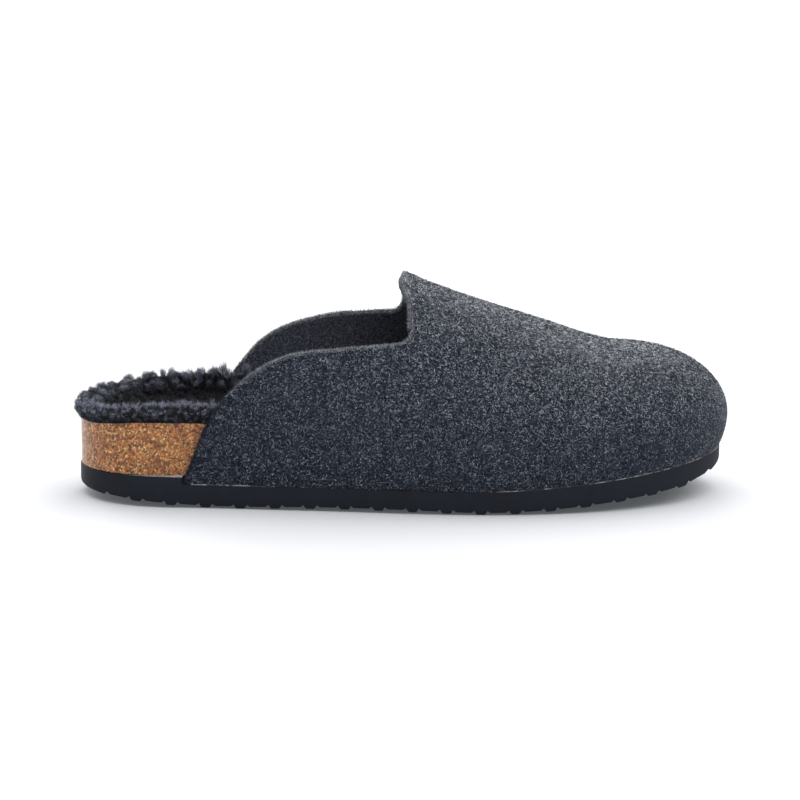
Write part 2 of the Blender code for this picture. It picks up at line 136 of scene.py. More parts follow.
# Cut edge of the upper seen from the side: wing, collar, notch and throat
WING_X = 45.9
BARE_END_X = WING_X - 1.5 * GAP
THROAT_X = 142.0
THROAT_LEAN = 3.0
THROAT_LEAN_START = 0.45
THROAT_LEAN_SPAN = 0.5
THROAT_LEAN_FADE = 14.0
THROAT_FLARE = {OUTER: 1.4, INNER: 0.0}
THROAT_FLARE_WIDTH = 5.0
THROAT_FLARE_START = 6.0
NOTCH_RADIUS = {OUTER: 6.0, INNER: 9.8}
Cut = namedtuple("Cut", "x z")
COLLAR = {
    OUTER: (
        Cut(55.2, 34.0), Cut(60.6, 43.2), Cut(66.1, 49.9), Cut(74.5, 57.3), Cut(82.9, 62.5),
        Cut(93.4, 66.4), Cut(113.2, 68.8), Cut(THROAT_X - NOTCH_RADIUS[OUTER], 70.9),
    ),
    INNER: (
        Cut(57.5, 34.0), Cut(63.2, 43.2), Cut(68.6, 50.4), Cut(75.0, 58.1), Cut(82.7, 63.8),
        Cut(91.9, 67.8), Cut(108.0, 71.7), Cut(120.0, 72.4), Cut(THROAT_X - NOTCH_RADIUS[INNER], 72.9),
    ),
}

# Fleece insole: pile over the footbed, curling over its rim at the heel
INSOLE_FOOT_HEEL_INSET = 1.0
INSOLE_FOOT_INSET = 5.2
INSOLE_HEEL_INSET = -1.2
INSOLE_INSET = 4.0
Pile = namedtuple("Pile", "x middle rim")
PILE = (Pile(0, 8.0, 11.0), Pile(55, 8.5, 14.0), Pile(120, 7.0, 8.0), Pile(275, 6.0, 6.0))
PILE_RIM_RISE = 4
PILE_EDGE_SHARE = 0.5
PILE_EDGE_SQUARE = 12
LOCKS_END_X = 92.0
FLEECE_SHARP_DEG = 60.0
FLEECE_SKIN_DEPTH = 0.62
FLEECE_RIM_DEPTH = {OUTER: 0.66, INNER: 0.98}

# Mesh density
HEEL_STATIONS = 28
MIDDLE_STATIONS = 44
TOE_STATIONS = 24
HALF_ACROSS = 14
ACROSS = [math.sin(math.pi / 2 * i / HALF_ACROSS) for i in range(-HALF_ACROSS, HALF_ACROSS + 1)]
QUARTER_COLUMNS = 60
VAMP_COLUMNS = 48
TOE_COLUMNS = 44
WALL_ROWS = 30
TOP_ROWS = 26
NOTCH_CROWDING = 1.5
ARC_STEPS = 12
WELD = 0.02

# Shift from the tables to the part's own frame, taken from a corner of its outsole
sole_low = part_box("outsole")[0]
SHIFT = Vector((sole_low.x / MM, sole_low.y / MM + EDGES[OUTER][-1].half_width, 0.0))


def through(rows, column, x):
    """Value of a table's column at station x, on a smooth curve through its rows, level at both ends."""
    stations = [row.x for row in rows]
    values = [getattr(row, column) for row in rows]
    if x <= stations[0]:
        return values[0]
    if x >= stations[-1]:
        return values[-1]
    last = len(rows) - 1

    def slope(i):
        if i in (0, last):
            return 0.0
        return (values[i + 1] - values[i - 1]) / (stations[i + 1] - stations[i - 1])

    i = bisect_right(stations, x) - 1
    span = stations[i + 1] - stations[i]
    t = (x - stations[i]) / span
    rise = t * t * (3 - 2 * t)
    start = values[i] + slope(i) * span * t * (1 - t) ** 2
    return start + (values[i + 1] - values[i]) * rise - slope(i + 1) * span * t * t * (1 - t)


def superellipse(share, power):
    """Height of a quarter superellipse of unit size at that share of its length."""
    return max(0.0, 1.0 - min(1.0, abs(share)) ** power) ** (1.0 / power)


def ease(share):
    """Smooth step from 0 to 1."""
    share = min(1.0, max(0.0, share))
    return share * share * (3 - 2 * share)


class Outline:
    """Plan outline drawn in from the outsole's edge, by one inset at the heel's end and another ahead."""

    def __init__(self, heel_inset, inset, flared=False):
        self.heel_inset = heel_inset
        self.inset = inset
        self.flare = 1.0 if flared else 0.0
        self.heel_x = heel_inset
        self.toe_x = SOLE_LENGTH - inset + self.flare * TOE_BELLY

    def half_width(self, side, x):
        inset = self.heel_inset + (self.inset - self.heel_inset) * ease(x / WING_X)
        return through(EDGES[side], "half_width", x) - inset + self.flare * belly_at(x)

    def y(self, side, x):
        """Y of the outline on that side at station x."""
        edge = side * self.half_width(side, x)
        if x < HEEL_ROUND_X:
            return edge * superellipse(self.behind(x), HEEL_SQUARE)
        ball_x = EDGES[side][-1].x
        if x > ball_x:
            ahead = (x - ball_x) / (self.toe_x - ball_x)
            return TOE_TIP_Y + (edge - TOE_TIP_Y) * superellipse(ahead, TOE_SQUARE)
        return edge

    def behind(self, x):
        """Share of the heel's round that lies ahead of station x."""
        return min(1.0, max(0.0, (HEEL_ROUND_X - x) / (HEEL_ROUND_X - self.heel_x)))

    def closeness(self, x, y):
        """How near a point is to the outline: 0 midway between the sides, and 1 on the outline."""
        outer, inner = self.y(OUTER, x), self.y(INNER, x)
        across = min(1.0, abs(2 * y - outer - inner) / max(inner - outer, GAP))
        behind = self.behind(x) ** HEEL_SQUARE
        return (behind + (1.0 - behind) * across**HEEL_SQUARE) ** (1.0 / HEEL_SQUARE)

    def stations(self):
        """Stations along the outline, close together where its ends are round."""
        ball_x = EDGES[INNER][-1].x
        heel = [
            HEEL_ROUND_X - (HEEL_ROUND_X - self.heel_x) * math.cos(math.pi / 2 * i / HEEL_STATIONS)
            for i in range(HEEL_STATIONS + 1)
        ]
        step = (ball_x - WING_X) / MIDDLE_STATIONS
        middle = [WING_X - 2 * GAP] + [WING_X - GAP + step * i for i in range(MIDDLE_STATIONS)]
        toe = [
            ball_x + (self.toe_x - ball_x) * math.sin(math.pi / 2 * i / TOE_STATIONS)
            for i in range(TOE_STATIONS + 1)
        ]
        return heel + middle + toe

    def loop(self, height):
        """Closed ring of points: along the outer side to the toe, and back along the inner."""
        stations = self.stations()
        there = [(x, self.y(OUTER, x)) for x in stations]
        back = [(x, self.y(INNER, x)) for x in reversed(stations)]
        return [(x, y, height(x, y)) for x, y in there + back + there[:1]]

    def sheet(self, height):
        """Grid of points that fills the outline, a row across the shoe for each station."""
        rows = []
        for x in self.stations():
            outer, inner = self.y(OUTER, x), self.y(INNER, x)
            ys = [outer + (inner - outer) * (t + 1) / 2 for t in ACROSS]
            rows.append([(x, y, height(x, y)) for y in ys])
        return rows


class Skin:
    """Grids of points, in millimetres, gathered into one mesh whose meeting edges are welded."""

    def __init__(self):
        self.mesh = bmesh.new()

    def grid(self, rows):
        corners = [[self.mesh.verts.new((Vector(point) + SHIFT) * MM) for point in row] for row in rows]
        for low, high in zip(corners, corners[1:]):
            for quad in zip(low, low[1:], high[1:], high):
                self.mesh.faces.new(quad)

    def weld(self):
        bmesh.ops.remove_doubles(self.mesh, verts=self.mesh.verts, dist=WELD * MM)
        bmesh.ops.dissolve_degenerate(self.mesh, edges=self.mesh.edges, dist=WELD * MM)
        bmesh.ops.recalc_face_normals(self.mesh, faces=self.mesh.faces)

    def turn_top_outwards(self):
        """Turns an open sheet so that its highest face looks up."""
        highest = max(self.mesh.faces, key=lambda face: face.calc_center_median().z)
        if highest.normal.z < 0:
            bmesh.ops.reverse_faces(self.mesh, faces=self.mesh.faces)

    def ripple(self, waves):
        """Moves the skin in and out by soft noise, a height and a length for each wave, in millimetres."""
        self.mesh.normal_update()
        for vert in self.mesh.verts:
            at = vert.co / MM
            swell = sum(height * noise.noise(at / length) for height, length in waves)
            vert.co += vert.normal * swell * MM

    def to_object(self, name, material=None, sharp_deg=40.0):
        data = bpy.data.meshes.new(name)
        self.mesh.to_mesh(data)
        self.mesh.free()
        data.shade_smooth()
        data.set_sharp_from_angle(angle=math.radians(sharp_deg))
        return to_piece(name, data, material)


def skin_piece(name, material, grids, **looks):
    """Piece whose skin is welded from grids of points."""
    skin = Skin()
    for rows in grids:
        skin.grid(rows)
    skin.weld()
    return skin.to_object(name, material, **looks)


def to_piece(name, data, material):
    piece = bpy.data.objects.new(name, data)
    bpy.context.scene.collection.objects.link(piece)
    if material:
        data.materials.append(material)
    return piece


def toe_lift(x):
    ahead = max(0.0, x - TOE_SPRING_START_X) / (SOLE_LENGTH - TOE_SPRING_START_X)
    return TOE_SPRING * ahead**TOE_SPRING_CURVE


def tread_z(x):
    """Underside of the outsole: it stands on heel and ball, with arched waist, toe spring and rolled ends."""
    back = max(0.0, HEEL_LIFT_START_X - x) / HEEL_LIFT_START_X
    ahead = max(0.0, x - TOE_ROLL_START_X) / (SOLE_LENGTH - TOE_ROLL_START_X)
    waist = (x - WAIST_START_X) / (WAIST_END_X - WAIST_START_X)
    arch = WAIST_ARCH * max(0.0, 4 * waist * (1.0 - waist))
    return toe_lift(x) + arch + HEEL_LIFT * back**HEEL_LIFT_CURVE + TOE_ROLL * ahead**TOE_ROLL_CURVE


def seat_z(x):
    return SEAT_Z + toe_lift(x)


def ledge_z(x):
    """Top of the outsole's edge: level with the seat round the bare heel, and a rebate under the felt."""
    return seat_z(x) if x < BARE_END_X else LEDGE_Z + toe_lift(x)


def lifted(height, rise=0.0):
    """Height that is the same right across the shoe, raised by a constant."""
    return lambda x, y: height(x) + rise


FOOTBED_FOOT = Outline(FOOTBED_HEEL_INSET, FOOTBED_INSET)
FOOTBED_RIM = Outline(FOOTBED_HEEL_INSET, FOOTBED_RIM_INSET, flared=True)
FELT_FOOT = Outline(FELT_EDGE_INSET, FELT_EDGE_INSET)
INSOLE_FOOT = Outline(INSOLE_FOOT_HEEL_INSET, INSOLE_FOOT_INSET, flared=True)
INSOLE_EDGE = Outline(INSOLE_HEEL_INSET, INSOLE_INSET, flared=True)


def belly_at(x):
    ahead = ease((x - TOE_POLE_X) / (SOLE_LENGTH - TOE_POLE_X))
    return through(UPPER, "belly", x) + (TOE_BELLY - UPPER[-1].belly) * ahead


def groove_cutter(mesh, x):
    """Zigzag bar across the sole that cuts one groove of the tread."""
    bends = int(2 * CUTTER_HALF_WIDTH / ZIGZAG_STEP) + 1
    low = tread_z(x) - CUTTER_DROP
    rings = []
    for i in range(bends + 1):
        y = -CUTTER_HALF_WIDTH + i * ZIGZAG_STEP
        middle = x + ZIGZAG_REACH * (0.5 if i % 2 else -0.5)
        ring = [(middle + corner.x, y, tread_z(x + corner.x) + corner.depth) for corner in GROOVE]
        ring = [(ring[-1][0], y, low), (ring[0][0], y, low)] + ring
        rings.append([mesh.verts.new((Vector(point) + SHIFT) * MM) for point in ring])
    for here, there in zip(rings, rings[1:]):
        for k in range(len(here)):
            mesh.faces.new((here[k], here[k - 1], there[k - 1], there[k]))
    mesh.faces.new(rings[0])
    mesh.faces.new(rings[-1][::-1])


def make_outsole(material):
    cutter_skin = Skin()
    x = TREAD_FIRST_X
    while x < TREAD_LAST_X:
        groove_cutter(cutter_skin.mesh, x)
        x += TREAD_PITCH
    bmesh.ops.recalc_face_normals(cutter_skin.mesh, faces=cutter_skin.mesh.faces)
    cutter = cutter_skin.to_object("tread_cutter")
    skin = Skin()
    foot = SOLE_EDGE_ROUND
    rings = []
    for k in range(ROUND_STEPS + 1):
        turn = math.pi / 2 * k / ROUND_STEPS
        inset = foot * (1 - math.sin(turn))
        rings.append(Outline(inset, inset).loop(lifted(tread_z, foot * (1 - math.cos(turn)))))
    rings.append(Outline(0.0, 0.0).loop(lifted(tread_z, NICK_DEPTH + GAP)))
    for k in range(ROUND_STEPS + 1):
        turn = math.pi / 2 * k / ROUND_STEPS
        inset = LEDGE_ROUND * (1 - math.cos(turn))
        rings.append(Outline(inset, inset).loop(lifted(ledge_z, LEDGE_ROUND * (math.sin(turn) - 1))))
    rings.append(FOOTBED_FOOT.loop(lifted(ledge_z)))
    rings.append(FOOTBED_FOOT.loop(lifted(seat_z)))
    skin.grid(rings)
    skin.grid(Outline(foot, foot).sheet(lifted(tread_z)))
    skin.grid(FOOTBED_FOOT.sheet(lifted(seat_z)))
    skin.weld()
    outsole = skin.to_object("foam_outsole", material)
    tread = outsole.modifiers.new("tread", "BOOLEAN")
    tread.operation = "DIFFERENCE"
    tread.object = cutter
    graph = bpy.context.evaluated_depsgraph_get()
    cut = bpy.data.meshes.new_from_object(outsole.evaluated_get(graph))
    outsole.modifiers.clear()
    cut.shade_smooth()
    cut.set_sharp_from_angle(angle=math.radians(TREAD_SHARP_DEG))
    outsole.data = cut
    bpy.data.objects.remove(cutter)
    return outsole


# Pale strip beside the cork's foot: a painted highlight for the lit top of the outsole's ledge.
LEDGE_HIGHLIGHT_START_X = 20.0
LEDGE_HIGHLIGHT_HEIGHT = 0.35
LEDGE_HIGHLIGHT_SHOULDER = 0.6 * LEDGE_HIGHLIGHT_HEIGHT
LEDGE_HIGHLIGHT_REACH = 2.55
LEDGE_HIGHLIGHT_LIFT = 0.02
LEDGE_HIGHLIGHT_LEAST = 0.1
LEDGE_HIGHLIGHT_STATIONS = 24


def make_ledge_highlight_strip(material):
    """Pale strip in the corner between the cork's foot and the outsole, up to each wing: a painted highlight
    on the outsole's ledge.
    """
    beads = []
    for side in (OUTER, INNER):
        rows = []
        for i in range(LEDGE_HIGHLIGHT_STATIONS + 1):
            share = i / LEDGE_HIGHLIGHT_STATIONS
            x = LEDGE_HIGHLIGHT_START_X + (BARE_END_X - LEDGE_HIGHLIGHT_START_X) * share
            inner = FOOTBED_FOOT.y(side, x)
            outer = inner + side * LEDGE_HIGHLIGHT_REACH * share * ease(x / WING_X)
            shoulder = (inner + 2 * outer) / 3
            ring = [(outer, 0.0), (shoulder, LEDGE_HIGHLIGHT_SHOULDER), (inner, LEDGE_HIGHLIGHT_HEIGHT), (inner, 0.0), (outer, 0.0)]
            base = seat_z(x) + LEDGE_HIGHLIGHT_LIFT
            rows.append([(x, y, base + rise * max(share, LEDGE_HIGHLIGHT_LEAST)) for y, rise in ring])
        beads.append(rows)
    return skin_piece("ledge_highlight_strip", material, beads)


# Pale bead at the felt's foot: a painted highlight where the outsole's top edge catches light.
SEAM_REACH = 0.28
SEAM_HEIGHT = 0.42
SEAM_BACK_X = 86.0
SEAM_FRONT_X = 168.0
SEAM_FADE = 14.0


def make_felt_foot_highlight(material):
    """Fine pale bead along the felt's foot, from one wing round the toe to the other: a painted highlight on
    the outsole's top edge.
    """
    reach = FELT_EDGE_INSET - SEAM_REACH
    corner = FELT_FOOT.loop(lifted(ledge_z))
    brink = Outline(reach, reach).loop(lifted(ledge_z))
    rows = []
    for foot, out in zip(corner[:-1], brink[:-1]):
        x = foot[0]
        if x <= WING_X:
            continue
        share = max(ease((SEAM_BACK_X - x) / SEAM_FADE), ease((x - SEAM_FRONT_X) / SEAM_FADE))
        out = Vector(foot).lerp(Vector(out), share)
        up = Vector((0.0, 0.0, SEAM_HEIGHT * share))
        rows.append([foot, out, out + up / 2, Vector(foot) + up, foot])
    return skin_piece("felt_foot_highlight", material, [rows])


def bed_z(x, y):
    """Top of the cork footbed: a heel cup, an arch on the inner side and a flatter forefoot."""
    rim = through(FOOTBED, "outer_rim" if y < 0 else "inner_rim", x)
    middle = through(FOOTBED, "middle", x)
    return seat_z(x) + GAP + middle + (rim - middle) * FOOTBED_RIM.closeness(x, y) ** FOOTBED_DISH


def make_footbed(material):
    foot_z = lifted(seat_z, GAP)
    wall = [FOOTBED_FOOT.loop(foot_z), FOOTBED_RIM.loop(bed_z)]
    return skin_piece("cork_footbed", material, [wall, FOOTBED_FOOT.sheet(foot_z), FOOTBED_RIM.sheet(bed_z)])


def wall_point(foot, ridge, belly, square, z):
    """Point at height z on the felt's outer face, which bellies out over its foot and meets the ridge."""
    crest = foot.z + BELLY_HEIGHT
    reach = Vector((foot.x - ridge.x, foot.y - ridge.y))
    if z < crest:
        out = reach.length + belly * (1.0 - ((crest - z) / BELLY_HEIGHT) ** 2)
    else:
        out = (reach.length + belly) * superellipse((z - crest) / (ridge.z - crest), square)
    plan = reach.normalized() * out
    return (ridge.x + plan.x, ridge.y + plan.y, z)


def felt_foot(side, x):
    return Vector((x, FELT_FOOT.y(side, x), ledge_z(x) + FELT_SEAM))


def ridge_at(x):
    x = min(x, TOE_POLE_X)
    return Vector((x, through(UPPER, "ridge_y", x), through(UPPER, "ridge_z", x)))


def notch_top_z(side):
    return COLLAR[side][-1].z + NOTCH_RADIUS[side]


def knee_share(side, x):
    """Top of the wall's rows, as a share of a section above its crest."""
    crest = felt_foot(side, THROAT_X).z + BELLY_HEIGHT
    toe_z = (notch_top_z(OUTER) + notch_top_z(INNER)) / 2
    ahead = ease((x - THROAT_X) / (TOE_POLE_X - THROAT_X))
    knee_z = notch_top_z(side) + (toe_z - notch_top_z(side)) * ahead
    return (knee_z - crest) / (ridge_at(THROAT_X).z - crest)


def throat_rise(side, z, x):
    """Share of the height from a side's notch up to the ridge at station x."""
    start_z = notch_top_z(side)
    top_z = max(ridge_at(x).z, start_z + GAP)
    return min(1.0, max(0.0, (z - start_z) / (top_z - start_z)))


def lean_share(side, z, x):
    """Share of the throat's lean at a height: on the inner side all of it is reached within the notch."""
    share = ease((throat_rise(side, z, x) - THROAT_LEAN_START) / THROAT_LEAN_SPAN)
    if side == OUTER:
        return share
    rise = min(1.0, max(0.0, (z - COLLAR[side][-1].z) / NOTCH_RADIUS[side]))
    return max(share, math.sin(math.pi / 2 * rise))


def at_throat(side, point):
    """Point of the felt's face as the throat moves it: leant back at the top, flared at the sides."""
    x, y, z = point
    ahead = max(0.0, x - THROAT_X)
    fade = max(0.0, 1.0 - ahead / THROAT_LEAN_FADE)
    lean = THROAT_LEAN * lean_share(side, z, x) * fade**2
    near = max(0.0, 1.0 - abs(x - THROAT_X) / THROAT_FLARE_WIDTH)
    started = ease((z - notch_top_z(side)) / THROAT_FLARE_START + 1.0)
    flare = THROAT_FLARE[side] * near**2 * started * (1.0 - throat_rise(side, z, x) ** 2)
    return (x - lean, y + side * flare, z)


EDGE_STEPS = (0.06, 0.16, 0.35, 0.6, 0.95, 1.6)


def crowded(count, length):
    """Shares of a length in even steps, with finer ones beside the cut edge at its end."""
    fine = [1.0 - step / length for step in reversed(EDGE_STEPS)]
    return [fine[0] * i / count for i in range(count)] + fine + [1.0]


def section_column(side, x):
    """Points of the felt's outer face at station x, from its foot up to the ridge or the toe's pole."""
    foot, ridge = felt_foot(side, x), ridge_at(x)
    belly, square = belly_at(x), through(UPPER, "square", x)
    crest = foot.z + BELLY_HEIGHT
    share = knee_share(side, x)
    knee = crest + (ridge.z - crest) * share
    heights = [foot.z + (knee - foot.z) * rise for rise in crowded(WALL_ROWS, knee - foot.z)[:-1]]
    first_angle = math.asin(share ** (square / 2))
    for row in range(TOP_ROWS + 1):
        angle = first_angle + (math.pi / 2 - first_angle) * row / TOP_ROWS
        heights.append(crest + (ridge.z - crest) * math.sin(angle) ** (2 / square))
    return [at_throat(side, wall_point(foot, ridge, belly, square, z)) for z in heights]


def catmull_rom(before, here, there, after, t):
    def blend(a, b, c, d):
        return b + t * ((c - a) + t * ((2 * a - 5 * b + 4 * c - d) + t * (3 * b - a - 3 * c + d))) / 2

    return tuple(blend(*values) for values in zip(before, here, there, after))


def collar_line(side):
    """Points along the cut edge seen from the side, from the top of the wing to the end of the notch."""
    cuts = COLLAR[side]
    dense = []
    for i in range(len(cuts) - 1):
        before = cuts[max(0, i - 1)]
        after = cuts[min(len(cuts) - 1, i + 2)]
        for k in range(ARC_STEPS):
            dense.append(catmull_rom(before, cuts[i], cuts[i + 1], after, k / ARC_STEPS))
    last, radius = cuts[-1], NOTCH_RADIUS[side]
    for k in range(ARC_STEPS + 1):
        turn = math.pi / 2 * k / ARC_STEPS
        dense.append((last.x + radius * math.sin(turn), last.z + radius * (1 - math.cos(turn))))
    return dense


def along(line, share):
    """Point at a share of a polyline's length."""
    lengths = [math.dist(a, b) for a, b in zip(line, line[1:])]
    left = share * sum(lengths)
    for (a, b), length in zip(zip(line, line[1:]), lengths):
        if left <= length:
            t = left / length
            return tuple(p + (q - p) * t for p, q in zip(a, b))
        left -= length
    return line[-1]


def quarter_shares(length):
    """Shares of a quarter's length, crowded beside the wing's cut edge and round the notch."""
    wing = [1.0 - share for share in reversed(crowded(1, length))][:-1]
    steps = [(1.0 - i / QUARTER_COLUMNS) ** NOTCH_CROWDING for i in range(1, QUARTER_COLUMNS + 1)]
    return wing + [1.0 - (1.0 - wing[-1]) * step for step in steps]


def quarter_patch(side):
    """Side wall behind the throat, ruled in side view between the sole's edge and the cut collar."""
    line = collar_line(side)
    foot_z = felt_foot(side, THROAT_X).z
    columns = []
    for share in quarter_shares(THROAT_X - WING_X):
        high_x, high_z = along(line, share)
        low_x = WING_X + (THROAT_X - WING_X) * share
        points = []
        for rise in crowded(WALL_ROWS, high_z - foot_z):
            x = low_x + (high_x - low_x) * rise
            z = foot_z + (high_z - foot_z) * rise
            square = through(UPPER, "square", x)
            point = wall_point(felt_foot(side, x), ridge_at(x), belly_at(x), square, z)
            points.append(at_throat(side, point))
        columns.append(points)
    return columns


def vamp_grid(side):
    length = TOE_POLE_X - THROAT_X
    shares = [1.0 - share for share in reversed(crowded(VAMP_COLUMNS, length))]
    return [section_column(side, THROAT_X + length * share) for share in shares]


def toe_fan(side):
    reach = FELT_FOOT.toe_x - TOE_POLE_X
    turns = [math.pi / 2 * i / TOE_COLUMNS for i in range(TOE_COLUMNS + 1)]
    return [section_column(side, TOE_POLE_X + reach * math.sin(turn)) for turn in turns]


FELT_RIPPLE = ((0.30, 30.0), (0.16, 9.0), (0.07, 3.2))
FELT_EDGE_ROUND = 0.6
FELT_EDGE_SQUARE = 3.0
FELT_EDGE_PALE = 1.1
NEVER_SHARP_DEG = 180.0
LIP = Vector((-2.2, 0.0, -0.8))
LIP_REACH = 7.0
WING_TOP_Z = 48.0
EDGE_SAMPLE = 0.1
LUMP = 0.45
LUMP_SIZE = 1.6
LUMP_REACH = 2.5
Rim = namedtuple("Rim", "starts ends outs normals")


def cut_rim(mesh):
    """Cut edge of the felt above the sole, edge by edge, with the direction that leads out of the felt."""
    rim = Rim([], [], [], [])
    for edge in mesh.edges:
        a, b = (vert.co for vert in edge.verts)
        middle = (a + b) / 2 / MM - SHIFT
        if not edge.is_boundary or middle.z < ledge_z(middle.x) + FELT_SEAM + WELD:
            continue
        face = edge.link_faces[0]
        run = (b - a).normalized()
        out = (a + b) / 2 - face.calc_center_median()
        out = (out - run * out.dot(run)).normalized()
        for column, value in zip(rim, (a, b, out, face.normal)):
            column.append(value[:])
    return Rim(*(np.array(column) for column in rim))


def cut_distance(mesh, rim):
    """Each corner's distance from the felt's cut edge, in millimetres, and the way out of the felt there."""
    samples, outs = [], []
    for start, end, out in zip(rim.starts, rim.ends, rim.outs):
        count = int(np.linalg.norm(end - start) / MM / EDGE_SAMPLE) + 1
        samples.extend(start + (end - start) * i / count for i in range(count + 1))
        outs.extend([out] * (count + 1))
    tree = kdtree.KDTree(len(samples))
    for i, sample in enumerate(samples):
        tree.insert(sample, i)
    tree.balance()
    found = {vert: tree.find(vert.co) for vert in mesh.verts}
    distance = {vert: near[2] / MM for vert, near in found.items()}
    return distance, {vert: Vector(outs[near[1]]) for vert, near in found.items()}


def felt_fullness(distance):
    """Share of the felt's half thickness at a distance from its cut edge, which is softly rounded."""
    left = 1.0 - min(1.0, distance / FELT_EDGE_ROUND)
    return (1.0 - left**FELT_EDGE_SQUARE) ** (1.0 / FELT_EDGE_SQUARE)


def lip_at(point):
    """Swelling of the felt's inner face where the throat's edge turns up at the ridge."""
    x, y, z = point / MM - SHIFT
    near = max(0.0, 1.0 - max(0.0, x - THROAT_X + THROAT_LEAN) / LIP_REACH)
    side = OUTER if y < ridge_at(THROAT_X).y else INNER
    return LIP * (near**2 * throat_rise(side, z, THROAT_X) ** 2 * MM)


def thicken(skin, rim):
    """Gives the felt's outer sheet an inner face and a rounded cut edge; returns the outer sheet alone."""
    mesh = skin.mesh
    inside = mesh.verts.layers.float.new("inside")
    pale = mesh.verts.layers.float.new("pale")
    mesh.normal_update()
    distance, outwards = cut_distance(mesh, rim)
    for vert in mesh.verts:
        near = max(0.0, 1.0 - distance[vert] / LUMP_REACH)
        vert.co += outwards[vert] * (LUMP * near**2 * noise.noise(vert.co / MM / LUMP_SIZE) * MM)
    outer, faces = list(mesh.verts), list(mesh.faces)
    open_edges = [edge.verts[:] for edge in mesh.edges if edge.is_boundary]
    half = {vert: vert.normal * (FELT / 2 * MM) for vert in outer}
    full = {vert: felt_fullness(distance[vert]) for vert in outer}
    inner_at = {
        vert: vert.co - half[vert] * (1.0 + full[vert]) + lip_at(vert.co) * full[vert] for vert in outer
    }
    for vert in outer:
        vert.co -= half[vert] * (1.0 - full[vert])
        # The pale attribute paints light on the cut edge: positive for a painted highlight above the wing's
        # top, negative for painted shade below it.
        high = ease((vert.co.z / MM - WING_TOP_Z) / BELLY_HEIGHT + 0.5)
        vert[pale] = max(0.0, 1.0 - distance[vert] / FELT_EDGE_PALE) * (2.0 * high - 1.0)
    sheet = bpy.data.meshes.new("felt_sheet")
    mesh.to_mesh(sheet)
    twin = {vert: mesh.verts.new(inner_at[vert]) for vert in outer}
    for vert, other in twin.items():
        other[inside] = 1.0
        other[pale] = vert[pale]
    for face in faces:
        mesh.faces.new([twin[vert] for vert in reversed(face.verts)])
    for a, b in open_edges:
        if full[a] + full[b] > WELD:
            mesh.faces.new((a, b, twin[b], twin[a]))
    skin.weld()
    return sheet


def make_upper(material):
    """The felt upper, its outer sheet and its cut edge."""
    skin = Skin()
    for side in (OUTER, INNER):
        skin.grid(quarter_patch(side))
        skin.grid(vamp_grid(side))
        skin.grid(toe_fan(side))
    skin.weld()
    skin.turn_top_outwards()
    skin.mesh.normal_update()
    rim = cut_rim(skin.mesh)
    skin.ripple(FELT_RIPPLE)
    sheet = thicken(skin, rim)
    return skin.to_object("felt_upper", material, sharp_deg=NEVER_SHARP_DEG), sheet, rim


def pile_foot_z(x, y):
    return bed_z(x, y) + GAP


def pile_z(x, y):
    """Top of the fleece's mass: deepest along the rim, and rounded off at the edge itself."""
    close = INSOLE_EDGE.closeness(x, y)
    middle, rim = through(PILE, "middle", x), through(PILE, "rim", x)
    depth = middle + (rim - middle) * close**PILE_RIM_RISE
    return pile_foot_z(x, y) + depth * (1.0 - (1.0 - PILE_EDGE_SHARE) * close**PILE_EDGE_SQUARE)


def skin_z(x, y):
    """Skin of the fleece, from which its locks grow."""
    foot = pile_foot_z(x, y)
    across = ease(0.5 + y / HEEL_ROUND_X)
    rim = FLEECE_RIM_DEPTH[OUTER] + (FLEECE_RIM_DEPTH[INNER] - FLEECE_RIM_DEPTH[OUTER]) * across
    behind = 1.0 - ease((x - LOCKS_END_X) / HEEL_ROUND_X + 1.0)
    close = INSOLE_EDGE.closeness(x, y) ** PILE_RIM_RISE
    depth = FLEECE_SKIN_DEPTH + (rim - FLEECE_SKIN_DEPTH) * close * behind
    return foot + (pile_z(x, y) - foot) * depth


def make_fleece_skin(material):
    wall = [INSOLE_FOOT.loop(pile_foot_z), INSOLE_EDGE.loop(skin_z)]
    grids = [wall, INSOLE_FOOT.sheet(pile_foot_z), INSOLE_EDGE.sheet(skin_z)]
    return skin_piece("fleece_insole", material, grids, sharp_deg=FLEECE_SHARP_DEG)


def in_tables(points):
    """Points of the scene in the tables' millimetres."""
    return points / MM - np.array(SHIFT)


def in_scene(points):
    return (points + np.array(SHIFT)) * MM


class Cloud:
    """Random points on a mesh's faces, spread by area, with the faces' smooth normals, in metres."""

    def __init__(self, data, chance, keep=None):
        data.calc_loop_triangles()
        count = len(data.vertices)
        self.points = np.empty(count * 3)
        data.vertices.foreach_get("co", self.points)
        self.points = self.points.reshape(-1, 3)
        self.normals = np.array([normal.vector for normal in data.vertex_normals])
        corners = np.empty(len(data.loop_triangles) * 3, dtype=np.int32)
        data.loop_triangles.foreach_get("vertices", corners)
        self.corners = corners.reshape(-1, 3)
        a, b, c = (self.points[self.corners[:, k]] for k in range(3))
        face_normals = np.cross(b - a, c - a)
        self.areas = np.linalg.norm(face_normals, axis=1) / 2
        if keep is not None:
            middles = in_tables((a + b + c) / 3)
            self.areas = self.areas * keep(middles, unit_rows(face_normals))
        self.chance = chance

    def take(self, count):
        """Points and unit normals."""
        faces = self.chance.choice(len(self.corners), size=count, p=self.areas / self.areas.sum())
        u, v = self.chance.random(count), self.chance.random(count)
        flip = u + v > 1
        u[flip], v[flip] = 1 - u[flip], 1 - v[flip]
        weights = np.stack([1 - u - v, u, v], axis=1)[:, :, None]
        at = (self.points[self.corners[faces]] * weights).sum(axis=1)
        normal = unit_rows((self.normals[self.corners[faces]] * weights).sum(axis=1))
        return at, normal


TINY = 1e-12


def unit_rows(vectors):
    return vectors / np.maximum(np.linalg.norm(vectors, axis=-1, keepdims=True), TINY)


def random_directions(chance, count):
    return unit_rows(chance.normal(size=(count, 3)))


